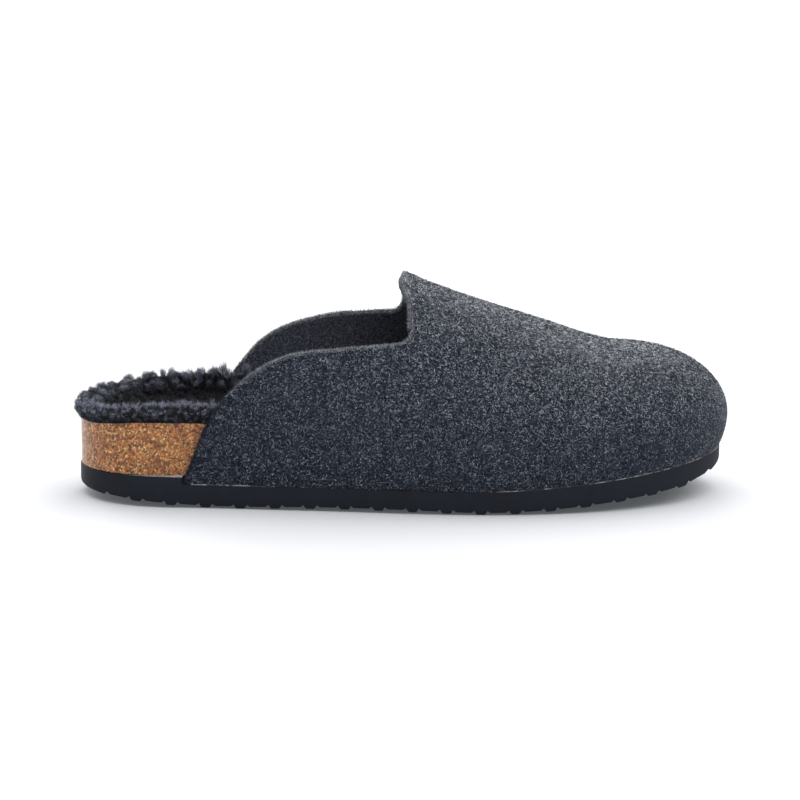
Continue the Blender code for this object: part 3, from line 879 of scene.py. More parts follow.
def ribbons(name, paths, widths, across, tones, material):
    """Thin flat strands: each row of paths is a strand's line, with its width, side direction and tone."""
    strands, knots = paths.shape[:2]
    half = (widths / 2)[..., None] * across
    points = np.stack([paths - half, paths + half], axis=2).reshape(-1, 3)
    first = np.arange(strands * knots).reshape(strands, knots)[:, :-1].ravel() * 2
    quads = np.stack([first, first + 1, first + 3, first + 2], axis=1)
    data = bpy.data.meshes.new(name)
    data.from_pydata(points, [], quads.tolist())
    data.validate()
    data.shade_smooth()
    tone = data.attributes.new("tone", "FLOAT", "POINT")
    tone.data.foreach_set("value", np.repeat(tones.reshape(-1), 2).astype(np.float32))
    return to_piece(name, data, material)


# Wool on the felt: counts, sizes in millimetres, and tones from 0 for dark to 1 for pale
KNOTS = (0.0, 0.5, 1.0)
# Painted top light: range of the face's upward normal over which fibre, hair and heather tones turn paler.
TOP_LIT_NORMAL_Z = (0.84, 0.98)
FIBRES = 48000
FIBRE_SEED = 5
FIBRE_LENGTH = (0.7, 1.8)
FIBRE_WIDTH = (0.08, 0.17)
FIBRE_TAPER = (0.4, 1.0, 0.4)
FIBRE_BEND = (-0.15, 0.15)
FIBRE_RISE = (0.02, 0.16)
FIBRE_LIFT = 0.02
# Painted top light: gains on fibre tone from side-facing to up-facing faces.
FIBRE_TOP_LIGHT = (0.91, 1.01, 1.12)
HAIRS = 27000
HAIR_SEED = 6
HAIR_LENGTH = (0.5, 1.2)
HAIR_WIDTH = 0.18
HAIR_TAPER = (1.0, 0.8, 0.3)
HAIR_STAND = (0.1, 0.6)
HAIR_DROOP = 0.35
HAIR_PATCH = 1.2
PALE_PATCH = 0.12
PALE_TONE = (0.8, 1.05)
DARK_TONE = (0.0, 0.5)
NAP_LEAST = 0.2
NAP_GAIN = 3.0
EDGE_HAIRS = 18000
EDGE_HAIR_LENGTH = (0.4, 1.3)
EDGE_HAIR_WIDTH = 0.1
EDGE_SPREAD = 0.9
EDGE_TONE = (0.48, 1.06)
# Painted shade: cut-edge hairs darken below the wing's top, over this fade.
EDGE_LOW_SHADE = 0.45
EDGE_SHADE_FADE = 20.0


def make_felt_fibres(sheet, material):
    """Short wool fibres that lie matted on the felt's outer face, paler on up-facing faces as painted top
    light.
    """
    chance = np.random.default_rng(FIBRE_SEED)
    at, normal = Cloud(sheet, chance).take(FIBRES)
    lie = unit_rows(np.cross(normal, random_directions(chance, FIBRES)))
    side = np.cross(normal, lie)
    length = chance.uniform(*FIBRE_LENGTH, FIBRES)[:, None] * MM
    bend = chance.uniform(*FIBRE_BEND, FIBRES)[:, None]
    rise = chance.uniform(*FIBRE_RISE, FIBRES)[:, None] * MM
    paths, across = [], []
    for share in KNOTS:
        bow = 4 * share * (1 - share)
        spot = at + lie * length * (share - 0.5) + side * length * bend * bow
        paths.append(spot + normal * (rise * bow + FIBRE_LIFT * MM))
        across.append(unit_rows(side - lie * bend * 4 * (1 - 2 * share)))
    widths = chance.uniform(*FIBRE_WIDTH, FIBRES)[:, None] * MM * np.array(FIBRE_TAPER)
    # Painted top light: fibres on up-facing faces get paler tones.
    top_light_gain = np.interp(normal[:, 2], (0.0, *TOP_LIT_NORMAL_Z), FIBRE_TOP_LIGHT)
    tones = np.repeat((chance.random(FIBRES) * top_light_gain)[:, None], len(KNOTS), axis=1)
    return ribbons("felt_fibres", np.stack(paths, 1), widths, np.stack(across, 1), tones, material)


def nap_share(middles, normals):
    """Where the felt's nap stands up: most on the faces that look up."""
    return NAP_LEAST + NAP_GAIN * np.clip(normals[:, 2], 0, 1) ** 2


def make_felt_hairs(sheet, rim, material):
    """Loose hairs that stand off the felt, thicker along its cut edge."""
    chance = np.random.default_rng(HAIR_SEED)
    at, normal = Cloud(sheet, chance, nap_share).take(HAIRS)
    lie = unit_rows(np.cross(normal, random_directions(chance, HAIRS)))
    grow = unit_rows(lie + normal * chance.uniform(*HAIR_STAND, HAIRS)[:, None])
    runs = np.linalg.norm(rim.ends - rim.starts, axis=1)
    pick = chance.choice(len(runs), size=EDGE_HAIRS, p=runs / runs.sum())
    share = chance.random(EDGE_HAIRS)[:, None]
    depth = chance.uniform(0.0, FELT, EDGE_HAIRS)[:, None] * MM
    edge_at = rim.starts[pick] + (rim.ends - rim.starts)[pick] * share - rim.normals[pick] * depth
    edge_grow = unit_rows(rim.outs[pick] + EDGE_SPREAD * random_directions(chance, EDGE_HAIRS))
    at = np.concatenate([at, edge_at])
    grow = np.concatenate([grow, edge_grow])
    count = len(at)
    lengths = [chance.uniform(*HAIR_LENGTH, HAIRS), chance.uniform(*EDGE_HAIR_LENGTH, EDGE_HAIRS)]
    length = np.concatenate(lengths)[:, None] * MM
    droop = random_directions(chance, count) * HAIR_DROOP
    across = unit_rows(np.cross(grow, random_directions(chance, count)))
    paths = [at + grow * length * share + droop * length * share**2 for share in KNOTS]
    thick = np.repeat([HAIR_WIDTH, EDGE_HAIR_WIDTH], [HAIRS, EDGE_HAIRS])[:, None]
    widths = thick * MM * np.array(HAIR_TAPER)
    roots = at[:HAIRS] / MM / HAIR_PATCH
    bright = np.array([noise.noise(root) for root in roots]) > PALE_PATCH
    nap_tones = np.where(bright, chance.uniform(*PALE_TONE, HAIRS), chance.uniform(*DARK_TONE, HAIRS))
    # Painted top light: hairs on up-facing faces get paler tones.
    nap_tones *= np.interp(normal[:, 2], TOP_LIT_NORMAL_Z, (1.0, FIBRE_TOP_LIGHT[-1]))
    # Painted shade: cut-edge hairs get darker tones below the wing's top.
    high = np.clip((edge_at[:, 2] / MM - WING_TOP_Z) / EDGE_SHADE_FADE + 0.5, 0, 1)
    edge_tones = chance.uniform(*EDGE_TONE, EDGE_HAIRS) * (EDGE_LOW_SHADE + (1 - EDGE_LOW_SHADE) * high)
    tones = np.repeat(np.concatenate([nap_tones, edge_tones])[:, None], len(KNOTS), axis=1)
    sides = np.repeat(across[:, None, :], len(KNOTS), axis=1)
    return ribbons("felt_hairs", np.stack(paths, 1), widths, sides, tones, material)


# Fleece: strands that run together in locks, sizes in millimetres
Fleece = namedtuple("Fleece", "name seed strands locks length curl clump width rise tone hem")
Rise = namedtuple("Rise", "x share")
EVEN = (Rise(0, 1.0), Rise(275, 1.0))
NEAR_RISE = (Rise(0, 0.75), Rise(14, 0.9), Rise(30, 1.05), Rise(45, 1.35), Rise(75, 1.3))
FAR_RISE = (Rise(0, 0.6), Rise(14, 0.7), Rise(30, 0.9), Rise(45, 1.2), Rise(62, 1.5), Rise(80, 1.5))
# Painted light: the tone field makes rim locks paler, as lit, and bed and front locks darker, as shaded in
# the hollow.
OUTER_RIM = Fleece(
    "fleece_outer_rim", 7, 19500, 900, (2.0, 3.4), 0.4, 0.34, (0.07, 0.12), NEAR_RISE, 1.65, 0.3
)
INNER_RIM = Fleece(
    "fleece_inner_rim", 10, 17000, 150, (2.8, 4.8), 0.6, 0.56, (0.08, 0.14), FAR_RISE, 1.35, 0.3
)
BED_LOCKS = Fleece("fleece_bed_locks", 8, 9000, 420, (2.6, 4.2), 0.8, 0.55, (0.14, 0.24), EVEN, 0.5, None)
FRONT_LOCKS = Fleece(
    "fleece_front_locks", 9, 5000, 200, (3.0, 4.6), 0.8, 0.55, (0.24, 0.36), EVEN, 0.5, None
)
ROOT_BATCHES = 40
LOCK_KNOTS = 6
LOCK_WANDER = 0.55
LOCK_LIFT = (0.0, 0.0, 0.25)
LOCK_TURNS = (0.8, 1.6)
LOCK_TONES = (0.75, 1.0)
CURL_START = (0.31, 0.77, 0.55)
CURL_GROWTH = 0.7
CLUMP_GROWTH = 1.3
ROOT_BOW = 0.8
STRAND_LENGTHS = (0.8, 1.12)
STRAND_PHASE = 0.5
STRAND_CURLS = (0.6, 1.25)
STRAND_TONES = (0.45, 1.0)
STRAND_TAPER = ((0, 0.7, 1), (1, 0.9, 0.35))
FRIZZ = 0.3
LOW_ROOTS = (0.8, 4.8)
LOW_GROWTH = (0.5, 1.0)
# Painted shade: tone of strands rooted low over the cork.
LOW_ROOT_SHADE = (0.36, 1.0)
RIM_START = 0.7
BED_END = 0.82
SHARE_SLOPE = 12
DOWNWARD = -0.97
UPWARD = 0.2
FRONT_END_X = 245
HEM_SPREAD = 0.5
HEM_STATIONS = np.linspace(0.0, 100.0, 51)
WALL_MARGIN = 1.5
WALL_INSET = FELT + 2.0
WALL_CLEARANCE = Outline(WALL_INSET, WALL_INSET, flared=True)
WALL_STATIONS = np.linspace(WING_X, 260.0, 108)
NO_WALL = 1000.0


def cork_rim_z(x):
    return seat_z(x) + through(FOOTBED, "outer_rim", x)


def inside_walls(points):
    """Holds strands off the felt: points beside a quarter stay behind its inner face."""
    shifted = in_tables(points)
    for side in (OUTER, INNER):
        limits = [WALL_CLEARANCE.y(side, x) for x in WALL_STATIONS]
        limit = np.interp(shifted[..., 0], WALL_STATIONS, limits, left=side * NO_WALL)
        cut = (Cut(WING_X, LEDGE_Z), *COLLAR[side])
        edge = np.interp(shifted[..., 2], [point.z for point in cut], [point.x for point in cut])
        over = (side * (shifted[..., 1] - limit) > 0) & (shifted[..., 0] > edge - WALL_MARGIN)
        shifted[..., 1] = np.where(over, limit, shifted[..., 1])
    return in_scene(shifted)


def above_cork(points, hem, chance):
    """Ends the fleece in a trimmed hem over the bare cork: no strand hangs below the footbed's rim."""
    shifted = in_tables(points)
    heights = [cork_rim_z(x) + hem for x in HEM_STATIONS]
    lowest = np.interp(shifted[..., 0], HEM_STATIONS, heights)
    lowest += chance.uniform(0.0, HEM_SPREAD, (len(points), 1))
    shifted[..., 2] = np.maximum(shifted[..., 2], lowest)
    return in_scene(shifted)


def closeness(middles):
    return np.array([INSOLE_EDGE.closeness(x, y) for x, y, z in middles])


def rim_share(side):
    """Where one side's rim locks grow: on the heel's edge and over its outer face."""

    def keep(middles, normals):
        here = (middles[:, 0] < LOCKS_END_X) * (side * middles[:, 1] > 0) * (normals[:, 2] > DOWNWARD)
        return here * np.clip((closeness(middles) - RIM_START) * SHARE_SLOPE, 0, 1)

    return keep


def bed_share(middles, normals):
    here = (middles[:, 0] < LOCKS_END_X) * (normals[:, 2] > UPWARD)
    return here * np.clip((BED_END - closeness(middles)) * SHARE_SLOPE, 0, 1)


def front_share(middles, normals):
    return (middles[:, 0] >= LOCKS_END_X) * (normals[:, 2] > UPWARD) * (middles[:, 0] < FRONT_END_X)


def make_locks(fleece, skin, keep, material):
    """Curled wool locks: strands that grow from the fleece's skin and run together at their tips."""
    chance = np.random.default_rng(fleece.seed)
    cloud = Cloud(skin.data, chance, keep)
    roots, normal = cloud.take(fleece.strands)
    centres, centre_normal = cloud.take(fleece.locks)
    batches = np.array_split(roots, ROOT_BATCHES)
    owner = [np.argmin(((batch[:, None] - centres[None]) ** 2).sum(-1), axis=1) for batch in batches]
    owner = np.concatenate(owner)
    wander = random_directions(chance, fleece.locks) * LOCK_WANDER
    axis = unit_rows(centre_normal + wander + np.array(LOCK_LIFT))[owner]
    length = chance.uniform(*fleece.length, fleece.locks)[owner]
    length *= chance.uniform(*STRAND_LENGTHS, fleece.strands)
    stations, _, heights = in_tables(roots).T
    above = heights - np.array([cork_rim_z(x) for x in stations])
    length *= np.interp(stations, *zip(*fleece.rise))
    length *= np.interp(above, LOW_ROOTS, LOW_GROWTH)
    length = length[:, None] * MM
    start = unit_rows(np.cross(axis, np.array(CURL_START)))
    other = np.cross(axis, start)
    turns = (chance.uniform(*LOCK_TURNS, fleece.locks) * chance.choice([-1, 1], fleece.locks))[owner]
    phase = chance.uniform(0, 2 * math.pi, fleece.locks)[owner]
    phase += chance.normal(0, STRAND_PHASE, fleece.strands)
    curl = fleece.curl * chance.uniform(*STRAND_CURLS, fleece.strands)[:, None] * MM
    frizz = random_directions(chance, fleece.strands) * FRIZZ
    shares = np.linspace(0, 1, LOCK_KNOTS)
    paths = []
    for share in shares:
        straight = roots + normal * length * share * (1 - share) * ROOT_BOW + axis * length * share
        gather = centres[owner] + axis * length * share
        line = straight + (gather - straight) * fleece.clump * share**CLUMP_GROWTH
        angle = (phase + 2 * math.pi * turns * share)[:, None]
        wind = (start * np.cos(angle) + other * np.sin(angle)) * curl * share**CURL_GROWTH
        paths.append(line + wind + frizz * length * share**2)
    paths = inside_walls(np.stack(paths, 1))
    if fleece.hem is not None:
        paths = above_cork(paths, fleece.hem, chance)
    tangent = unit_rows(np.gradient(paths, axis=1))
    across = unit_rows(np.cross(tangent, random_directions(chance, fleece.strands)[:, None, :]))
    widths = chance.uniform(*fleece.width, fleece.strands)[:, None] * MM * np.interp(shares, *STRAND_TAPER)
    # Painted light and shade: tones rise from dark roots to pale tips, and strands rooted low over the cork
    # are darker.
    lock_tone = fleece.tone * chance.uniform(*LOCK_TONES, fleece.locks)[owner][:, None]
    lit = np.interp(above, LOW_ROOTS, LOW_ROOT_SHADE)[:, None]
    tones = lock_tone * lit * shares[None] * chance.uniform(*STRAND_TONES, fleece.strands)[:, None]
    return ribbons(fleece.name, paths, widths, across, tones, material)


class Shader:
    """A Principled material whose nodes are added by short calls."""

    def __init__(self, name, **constants):
        self.material = bpy.data.materials.new(name)
        self.material.use_nodes = True
        self.tree = self.material.node_tree
        self.surface = self.tree.nodes["Principled BSDF"]
        self.place = self.add("TexCoord").outputs["Object"]
        for socket, value in constants.items():
            self.surface.inputs[socket.replace("_", " ")].default_value = value

    def add(self, kind, settings=None, **inputs):
        node = self.tree.nodes.new("ShaderNode" + kind)
        for setting, value in (settings or {}).items():
            setattr(node, setting, value)
        for socket, value in inputs.items():
            self.feed(node.inputs[socket.replace("_", " ")], value)
        return node

    def feed(self, socket, value):
        if isinstance(value, bpy.types.NodeSocket):
            self.tree.links.new(value, socket)
        else:
            socket.default_value = value

    def attribute(self, name):
        return self.add("Attribute", {"attribute_name": name}).outputs["Fac"]

    def math(self, operation, *values):
        node = self.add("Math", {"operation": operation})
        for socket, value in zip(node.inputs, values):
            self.feed(socket, value)
        return node.outputs[0]

    def noise(self, grain_mm, detail=2.0, roughness=0.5, vector=None):
        """Noise whose grains are about that many millimetres across, from 0 to 1."""
        node = self.add("TexNoise", Scale=1 / (grain_mm * MM), Detail=detail, Roughness=roughness)
        self.feed(node.inputs["Vector"], vector or self.place)
        return node.outputs["Fac"]

    def streaks(self, turn_deg, width_mm, length_mm):
        """Noise drawn out into streaks along one direction."""
        turned = self.add("Mapping", Vector=self.place, Rotation=[math.radians(angle) for angle in turn_deg])
        scale = (1 / length_mm / MM, 1 / width_mm / MM, 1 / width_mm / MM)
        drawn = self.add("Mapping", Vector=turned.outputs[0], Scale=scale)
        node = self.add("TexNoise", Vector=drawn.outputs[0], Scale=1.0, Detail=1.5, Roughness=0.55)
        return node.outputs["Fac"]

    def span(self, value, low, high):
        """Value rescaled so that the low limit is 0 and the high limit is 1."""
        return self.math("MULTIPLY_ADD", value, 1 / (high - low), -low / (high - low))

    def ramp(self, value, *stops):
        """Colours at positions along a value."""
        node = self.add("ValToRGB", Fac=value)
        elements = node.color_ramp.elements
        while len(elements) < len(stops):
            elements.new(0.5)
        for element, (position, colour) in zip(elements, stops):
            element.position = position
            element.color = (*colour, 1.0)
        return node.outputs["Color"]

    def blend(self, kind, share, first, second):
        node = self.add("MixRGB", {"blend_type": kind}, Fac=share, Color1=first, Color2=second)
        return node.outputs["Color"]

    def bump(self, height, depth_mm, strength=1.0):
        node = self.add("Bump", Height=height, Distance=depth_mm * MM, Strength=strength)
        self.tree.links.new(node.outputs["Normal"], self.surface.inputs["Normal"])

    def finish(self, colour, roughness=None):
        self.feed(self.surface.inputs["Base Color"], colour)
        if roughness is not None:
            self.feed(self.surface.inputs["Roughness"], roughness)
        return self.material


WHITE = (1.0, 1.0, 1.0)
BLACK = (0.0, 0.0, 0.0)

# Felt's heather: shares of streaks and grain, painted top light as more contrast and a paler heather on
# up-facing faces, and where painted shade darkens the wing and foot
STREAK_SHARE = 0.6
GRAIN_SHARE = 0.4
STREAK_WIDTH = 0.5
STREAK_LENGTH = 1.5
HEATHER_MIDDLE = 0.575
HEATHER_STOPS = (0.49, 0.56, 0.615, 0.67)
TOP_LIGHT_CONTRAST = 0.9
TOP_LIT_SHARE = 0.45
PAINTED_EDGE_SHADE_SHARE = 0.75
WING_SHADE = (-0.095, -0.02)
FOOT_SHADE = (0.010, 0.040)
STREAK_TURNS = ((0, 20, 10), (0, 75, 40), (0, 130, -25), (25, 165, 80), (60, 40, 60))
DARK_HEATHER = (
    (0.006, 0.008, 0.013), (0.0280, 0.0355, 0.0530), (0.077, 0.093, 0.122), (0.370, 0.390, 0.430)
)
TOP_LIT_HEATHER = ((0.016, 0.019, 0.026), (0.075, 0.085, 0.108), (0.250, 0.268, 0.300), (0.620, 0.640, 0.670))
INNER_FACE = ((0.018, 0.020, 0.027), (0.063, 0.068, 0.087), (0.21, 0.22, 0.27))
# Painted highlight colours on the upper cut edge.
CUT_EDGE_HIGHLIGHT = ((0.012, 0.012, 0.014), (0.075, 0.078, 0.084), (0.40, 0.41, 0.43))
CUT_CORE = ((0.010, 0.009, 0.009), (0.105, 0.098, 0.094))
# Painted shade colour on the lower cut edge.
PAINTED_EDGE_SHADE = (0.010, 0.012, 0.017, 1.0)
EDGE_COVER = (0.85, 0.85, 0.85)
CORE_LEFT = (0.1, 0.1, 0.1)


def felt_material():
    """Heathered wool: dark and pale fibres matted in all directions, plainer on the inner face, with painted
    light and shade.
    """
    shader = Shader(
        "charcoal_felt", Roughness=0.95, Specular_IOR_Level=0.1, Sheen_Weight=0.1, Sheen_Roughness=0.35
    )
    fibres = None
    for turn in STREAK_TURNS:
        streak = shader.streaks(turn, STREAK_WIDTH, STREAK_LENGTH)
        fibres = streak if fibres is None else shader.math("MAXIMUM", fibres, streak)
    grain = shader.noise(0.8, 3.0, 0.8)
    fuzz = shader.noise(0.5, 2.0, 0.7)
    mixed = shader.math("MULTIPLY_ADD", fibres, STREAK_SHARE, shader.math("MULTIPLY", grain, GRAIN_SHARE))
    # Painted top light: up-facing faces get a stronger heather contrast.
    facing = shader.add("SeparateXYZ", Vector=shader.add("NewGeometry").outputs["True Normal"])
    up = shader.math("MAXIMUM", facing.outputs["Z"], 0.0)
    top_light_gain = shader.math("MULTIPLY_ADD", up, TOP_LIGHT_CONTRAST, 1.0)
    off_middle = shader.math("SUBTRACT", mixed, HEATHER_MIDDLE)
    mixed = shader.math("MULTIPLY_ADD", off_middle, top_light_gain, HEATHER_MIDDLE)
    heather = shader.ramp(mixed, *zip(HEATHER_STOPS, DARK_HEATHER))
    cloudy = shader.ramp(shader.noise(5.0, 4.0, 0.75), (0.38, (0.52, 0.54, 0.58)), (0.62, WHITE))
    outside = shader.blend("MULTIPLY", 1.0, heather, cloudy)
    # Painted shade: dark flecks between the fibres, only on up-facing faces.
    flecks = shader.ramp(shader.noise(1.3, 2.0, 0.6), (0.42, (0.28, 0.28, 0.30)), (0.62, WHITE))
    outside = shader.blend("MULTIPLY", up, outside, flecks)
    # Painted highlight: the heather turns paler where the face looks straight up.
    top_lit = shader.math("MULTIPLY", shader.span(facing.outputs["Z"], *TOP_LIT_NORMAL_Z), TOP_LIT_SHARE)
    top_lit_heather = shader.ramp(mixed, *zip(HEATHER_STOPS, TOP_LIT_HEATHER))
    outside = shader.blend("MIX", top_lit, outside, top_lit_heather)
    plain = shader.ramp(grain, *zip((0.32, 0.5, 0.68), INNER_FACE))
    inside = shader.attribute("inside")
    shader.bump(mixed, 0.6, 0.8)
    pale = shader.attribute("pale")
    whole = shader.blend("MIX", inside, outside, plain)
    # Painted highlight along the cut edge above the wing's top, and painted shade along it below.
    cut = shader.ramp(fuzz, *zip((0.36, 0.5, 0.64), CUT_EDGE_HIGHLIGHT))
    edge_highlight = shader.ramp(pale, (0.05, BLACK), (0.45, EDGE_COVER), (0.70, EDGE_COVER), (0.92, CORE_LEFT))
    core = shader.ramp(fuzz, *zip((0.36, 0.64), CUT_CORE))
    core_share = shader.ramp(pale, (0.72, BLACK), (0.95, EDGE_COVER))
    edge_shade = shader.math("MULTIPLY", shader.math("MINIMUM", pale, 0.0), -PAINTED_EDGE_SHADE_SHARE)
    whole = shader.blend("MIX", edge_highlight, whole, cut)
    whole = shader.blend("MIX", core_share, whole, core)
    whole = shader.blend("MIX", edge_shade, whole, PAINTED_EDGE_SHADE)
    place = shader.add("SeparateXYZ", Vector=shader.place)
    # Painted shade: darker towards the wing at the back and towards the foot.
    back = shader.ramp(shader.span(place.outputs["X"], *WING_SHADE), (0.0, (0.67, 0.68, 0.72)), (1.0, WHITE))
    low = shader.ramp(shader.span(place.outputs["Z"], *FOOT_SHADE), (0.0, (0.74, 0.75, 0.78)), (1.0, WHITE))
    return shader.finish(shader.blend("MULTIPLY", 1.0, shader.blend("MULTIPLY", 1.0, whole, back), low))


FIBRE_TONE_SCALE = 0.8


def fibre_material():
    shader = Shader("felt_fibre", Specular_IOR_Level=0.15, Roughness=0.8)
    # The tone attribute carries painted top light and, on cut-edge hairs, painted shade.
    tone = shader.attribute("tone")
    return shader.finish(
        shader.ramp(
            shader.math("MULTIPLY", tone, FIBRE_TONE_SCALE),
            (0.0, (0.012, 0.014, 0.020)),
            (0.4, (0.032, 0.038, 0.052)),
            (0.6, (0.105, 0.116, 0.140)),
            (0.8, (0.640, 0.660, 0.705)),
            (1.0, (0.830, 0.850, 0.880)),
        )
    )


def fleece_material():
    shader = Shader("black_fleece", Specular_IOR_Level=0.4, Roughness=0.55)
    tone = shader.attribute("tone")
    colour = shader.ramp(
        tone,
        (0.0, (0.004, 0.004, 0.006)),
        (0.35, (0.019, 0.0215, 0.033)),
        (0.65, (0.096, 0.105, 0.143)),
        (1.0, (0.405, 0.432, 0.530)),
    )
    return shader.finish(colour)


def fleece_skin_material():
    shader = Shader("fleece_skin", Roughness=0.95)
    wool = shader.noise(1.4, 3.0, 0.7)
    shader.bump(wool, 1.2)
    return shader.finish(shader.ramp(wool, (0.35, (0.005, 0.005, 0.007)), (0.75, (0.022, 0.023, 0.028))))


GRANULE = 0.8
GRANULE_WARP = 1.6
CORK_FLECK = 1.5
CORK_FLECK_SIZE = 0.19
CORK_FLECK_COVER = 0.75
CORK_FLECK_COLOUR = (0.92, 0.68, 0.36, 1.0)


def cork_material():
    """Pressed cork granules under a thin satin lacquer."""
    shader = Shader("cork", Specular_IOR_Level=0.3, Coat_Weight=0.4, Coat_Roughness=0.2)
    warp = shader.noise(1.3, 2.0)
    pushed = shader.add("VectorMath", {"operation": "SCALE"}, Vector=warp, Scale=GRANULE_WARP * MM)
    place = shader.add("VectorMath", {"operation": "ADD"})
    shader.feed(place.inputs[0], shader.place)
    shader.feed(place.inputs[1], pushed.outputs[0])
    cells = shader.add("TexVoronoi", Vector=place.outputs[0], Scale=1 / (GRANULE * MM))
    tint = shader.add("SeparateColor", Color=cells.outputs["Color"])
    granules = shader.ramp(
        tint.outputs["Red"],
        (0.0, (0.123, 0.037, 0.012)),
        (0.3, (0.336, 0.119, 0.035)),
        (0.65, (0.565, 0.219, 0.067)),
        (0.88, (0.715, 0.336, 0.102)),
        (1.0, (0.950, 0.680, 0.330)),
    )
    warm, cool = (1.10, 0.82, 0.55), (0.86, 1.06, 0.90)
    hues = shader.ramp(tint.outputs["Green"], (0.0, warm), (0.5, WHITE), (1.0, cool))
    colour = shader.blend("MULTIPLY", 1.0, granules, hues)
    fine = shader.noise(0.45, 3.0, 0.75)
    speckle = shader.ramp(fine, (0.38, (0.40, 0.33, 0.28)), (0.56, WHITE))
    colour = shader.blend("MULTIPLY", 0.7, colour, speckle)
    patches = shader.ramp(shader.noise(3.4, 3.0, 0.6), (0.36, (0.62, 0.55, 0.50)), (0.58, WHITE))
    colour = shader.blend("MULTIPLY", 1.0, colour, patches)
    flecks = shader.add("TexVoronoi", Vector=place.outputs[0], Scale=1 / (CORK_FLECK * MM))
    small = shader.math("LESS_THAN", flecks.outputs["Distance"], CORK_FLECK_SIZE)
    cover = shader.math("MULTIPLY", small, CORK_FLECK_COVER)
    colour = shader.blend("MIX", cover, colour, CORK_FLECK_COLOUR)
    shader.bump(shader.math("ADD", fine, cells.outputs["Distance"]), 0.1, 0.4)
    return shader.finish(colour, shader.math("MULTIPLY_ADD", fine, 0.3, 0.35))


def foam_material():
    """Matte black foam rubber with a fine skin."""
    shader = Shader("black_foam", Specular_IOR_Level=0.25)
    pores = shader.noise(0.5, 3.0, 0.7)
    scuffs = shader.noise(9.0, 4.0, 0.65)
    shader.bump(pores, 0.12, 0.6)
    colour = shader.ramp(scuffs, (0.3, (0.0050, 0.0068, 0.0122)), (0.7, (0.0102, 0.0131, 0.0220)))
    return shader.finish(colour, shader.math("MULTIPLY_ADD", scuffs, 0.25, 0.6))


def ledge_highlight_material():
    """Painted highlight on the outsole's ledge: pale and a little cloudy."""
    shader = Shader("painted_ledge_highlight", Coat_Weight=0.5, Coat_Roughness=0.2)
    cloudy = shader.noise(1.8, 3.0, 0.6)
    colour = shader.ramp(cloudy, (0.35, (0.20, 0.21, 0.23)), (0.65, (0.48, 0.49, 0.52)))
    return shader.finish(colour, shader.math("MULTIPLY_ADD", cloudy, 0.3, 0.3))


def foot_highlight_material():
    """Painted highlight along the felt's foot: pale here and there, and dark elsewhere."""
    shader = Shader("painted_foot_highlight", Roughness=0.5)
    patches = shader.noise(8.0, 3.0, 0.7)
    return shader.finish(shader.ramp(patches, (0.47, (0.016, 0.018, 0.024)), (0.60, (0.260, 0.270, 0.300))))


FLOOR_REACH = 6.0
FLOOR_GLOW = (0.88, 0.96, 1.0, 1.0)
FLOOR_GLOW_STRENGTH = 0.08
FLOOR_COLOUR = (0.550, 0.553, 0.570, 1.0)


def floor_material():
    """White light table, so that the shadow on it stays soft and pale."""
    glow = {"Emission_Color": FLOOR_GLOW, "Emission_Strength": FLOOR_GLOW_STRENGTH}
    return Shader("pale_floor", Roughness=0.9, **glow).finish(FLOOR_COLOUR)


def make_floor():
    data = bpy.data.meshes.new("floor")
    corners = [(FLOOR_REACH * x, FLOOR_REACH * y, 0) for x, y in ((-1, -1), (1, -1), (1, 1), (-1, 1))]
    data.from_pydata(corners, [], [(0, 1, 2, 3)])
    floor = to_piece("floor", data, floor_material())


SKY_COLOUR = (0.96, 0.98, 1.0, 1.0)
SKY_STRENGTH = 0.465
CEILING_POWER = 4.0
CEILING_SPREAD = math.radians(95)
CEILING_AIM = Vector((-0.29, -0.12, -1.0))
Panel = namedtuple("Panel", "name place aim size power")
PANELS = (
    Panel("back_panel", (-0.75, 1.1, 0.35), (-0.1, 0.0, 0.03), 0.7, 10.0),
    Panel("ridge_panel", (0.15, 0.8, 0.8), (0.03, 0.0, 0.07), 0.5, 2.5),
)


def link_towards(name, data, direction):
    """Adds a light or camera that looks in a direction."""
    added = bpy.data.objects.new(name, data)
    bpy.context.scene.collection.objects.link(added)
    added.rotation_euler = direction.to_track_quat("-Z", "Y").to_euler()
    return added


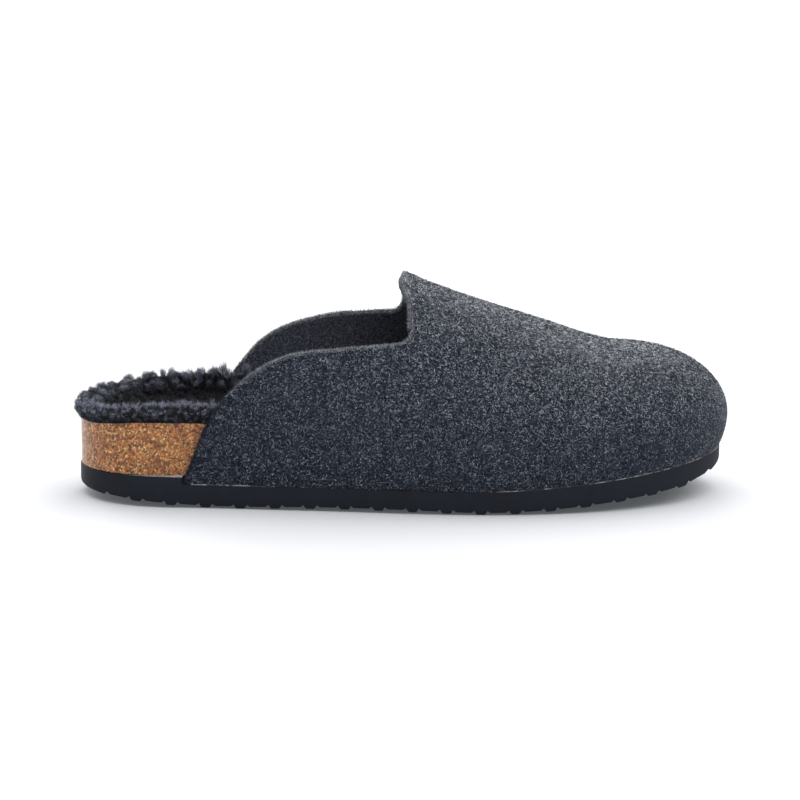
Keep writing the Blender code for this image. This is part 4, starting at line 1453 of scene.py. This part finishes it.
def make_light_rig():
    scene = bpy.context.scene
    world = bpy.data.worlds.new("studio")
    scene.world = world
    world.use_nodes = True
    sky = world.node_tree.nodes["Background"]
    sky.inputs["Color"].default_value = SKY_COLOUR
    sky.inputs["Strength"].default_value = SKY_STRENGTH
    ceiling = bpy.data.lights.new("ceiling", "SUN")
    ceiling.energy = CEILING_POWER
    ceiling.angle = CEILING_SPREAD
    link_towards("ceiling", ceiling, CEILING_AIM)
    for panel in PANELS:
        data = bpy.data.lights.new(panel.name, "AREA")
        data.size = panel.size
        data.energy = panel.power
        light = link_towards(panel.name, data, Vector(panel.aim) - Vector(panel.place))
        light.location = panel.place
    scene.view_settings.view_transform = "Standard"


CAMERA_DISTANCE = 1.6
CAMERA_ELEVATION = math.radians(11.5)
FRAME_WIDTH = 0.343
SENSOR = 36.0
AIM = (Vector((137.2, 0.0, 39.3)) + SHIFT) * MM


def make_camera():
    data = bpy.data.cameras.new("camera")
    data.sensor_width = SENSOR
    data.lens = SENSOR * CAMERA_DISTANCE / FRAME_WIDTH
    back = Vector((0.0, -math.cos(CAMERA_ELEVATION), math.sin(CAMERA_ELEVATION)))
    camera = link_towards("camera", data, -back)
    camera.location = AIM + back * CAMERA_DISTANCE
    bpy.context.scene.camera = camera


def main():
    make_camera()
    felt, fibre, fleece = felt_material(), fibre_material(), fleece_material()
    outsole = make_outsole(foam_material())
    footbed = make_footbed(cork_material())
    ledge_strip = make_ledge_highlight_strip(ledge_highlight_material())
    foot_highlight = make_felt_foot_highlight(foot_highlight_material())
    upper, sheet, rim = make_upper(felt)
    insole = make_fleece_skin(fleece_skin_material())
    fibres = make_felt_fibres(sheet, fibre)
    hairs = make_felt_hairs(sheet, rim, fibre)
    bpy.data.meshes.remove(sheet)
    outer_rim = make_locks(OUTER_RIM, insole, rim_share(OUTER), fleece)
    inner_rim = make_locks(INNER_RIM, insole, rim_share(INNER), fleece)
    bed = make_locks(BED_LOCKS, insole, bed_share, fleece)
    front = make_locks(FRONT_LOCKS, insole, front_share, fleece)
    slots = {
        "black_foam": [outsole],
        "cork": [footbed, ledge_strip],
        "charcoal_felt": [upper, fibres, hairs, foot_highlight],
        "black_fleece": [insole, outer_rim, inner_rim, bed, front],
    }
    for slot, pieces in slots.items():
        for piece in pieces:
            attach(piece, "root")
    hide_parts("outsole")
    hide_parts("footbed")
    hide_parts("upper")
    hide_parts("insole")
    make_floor()
    make_light_rig()


main()
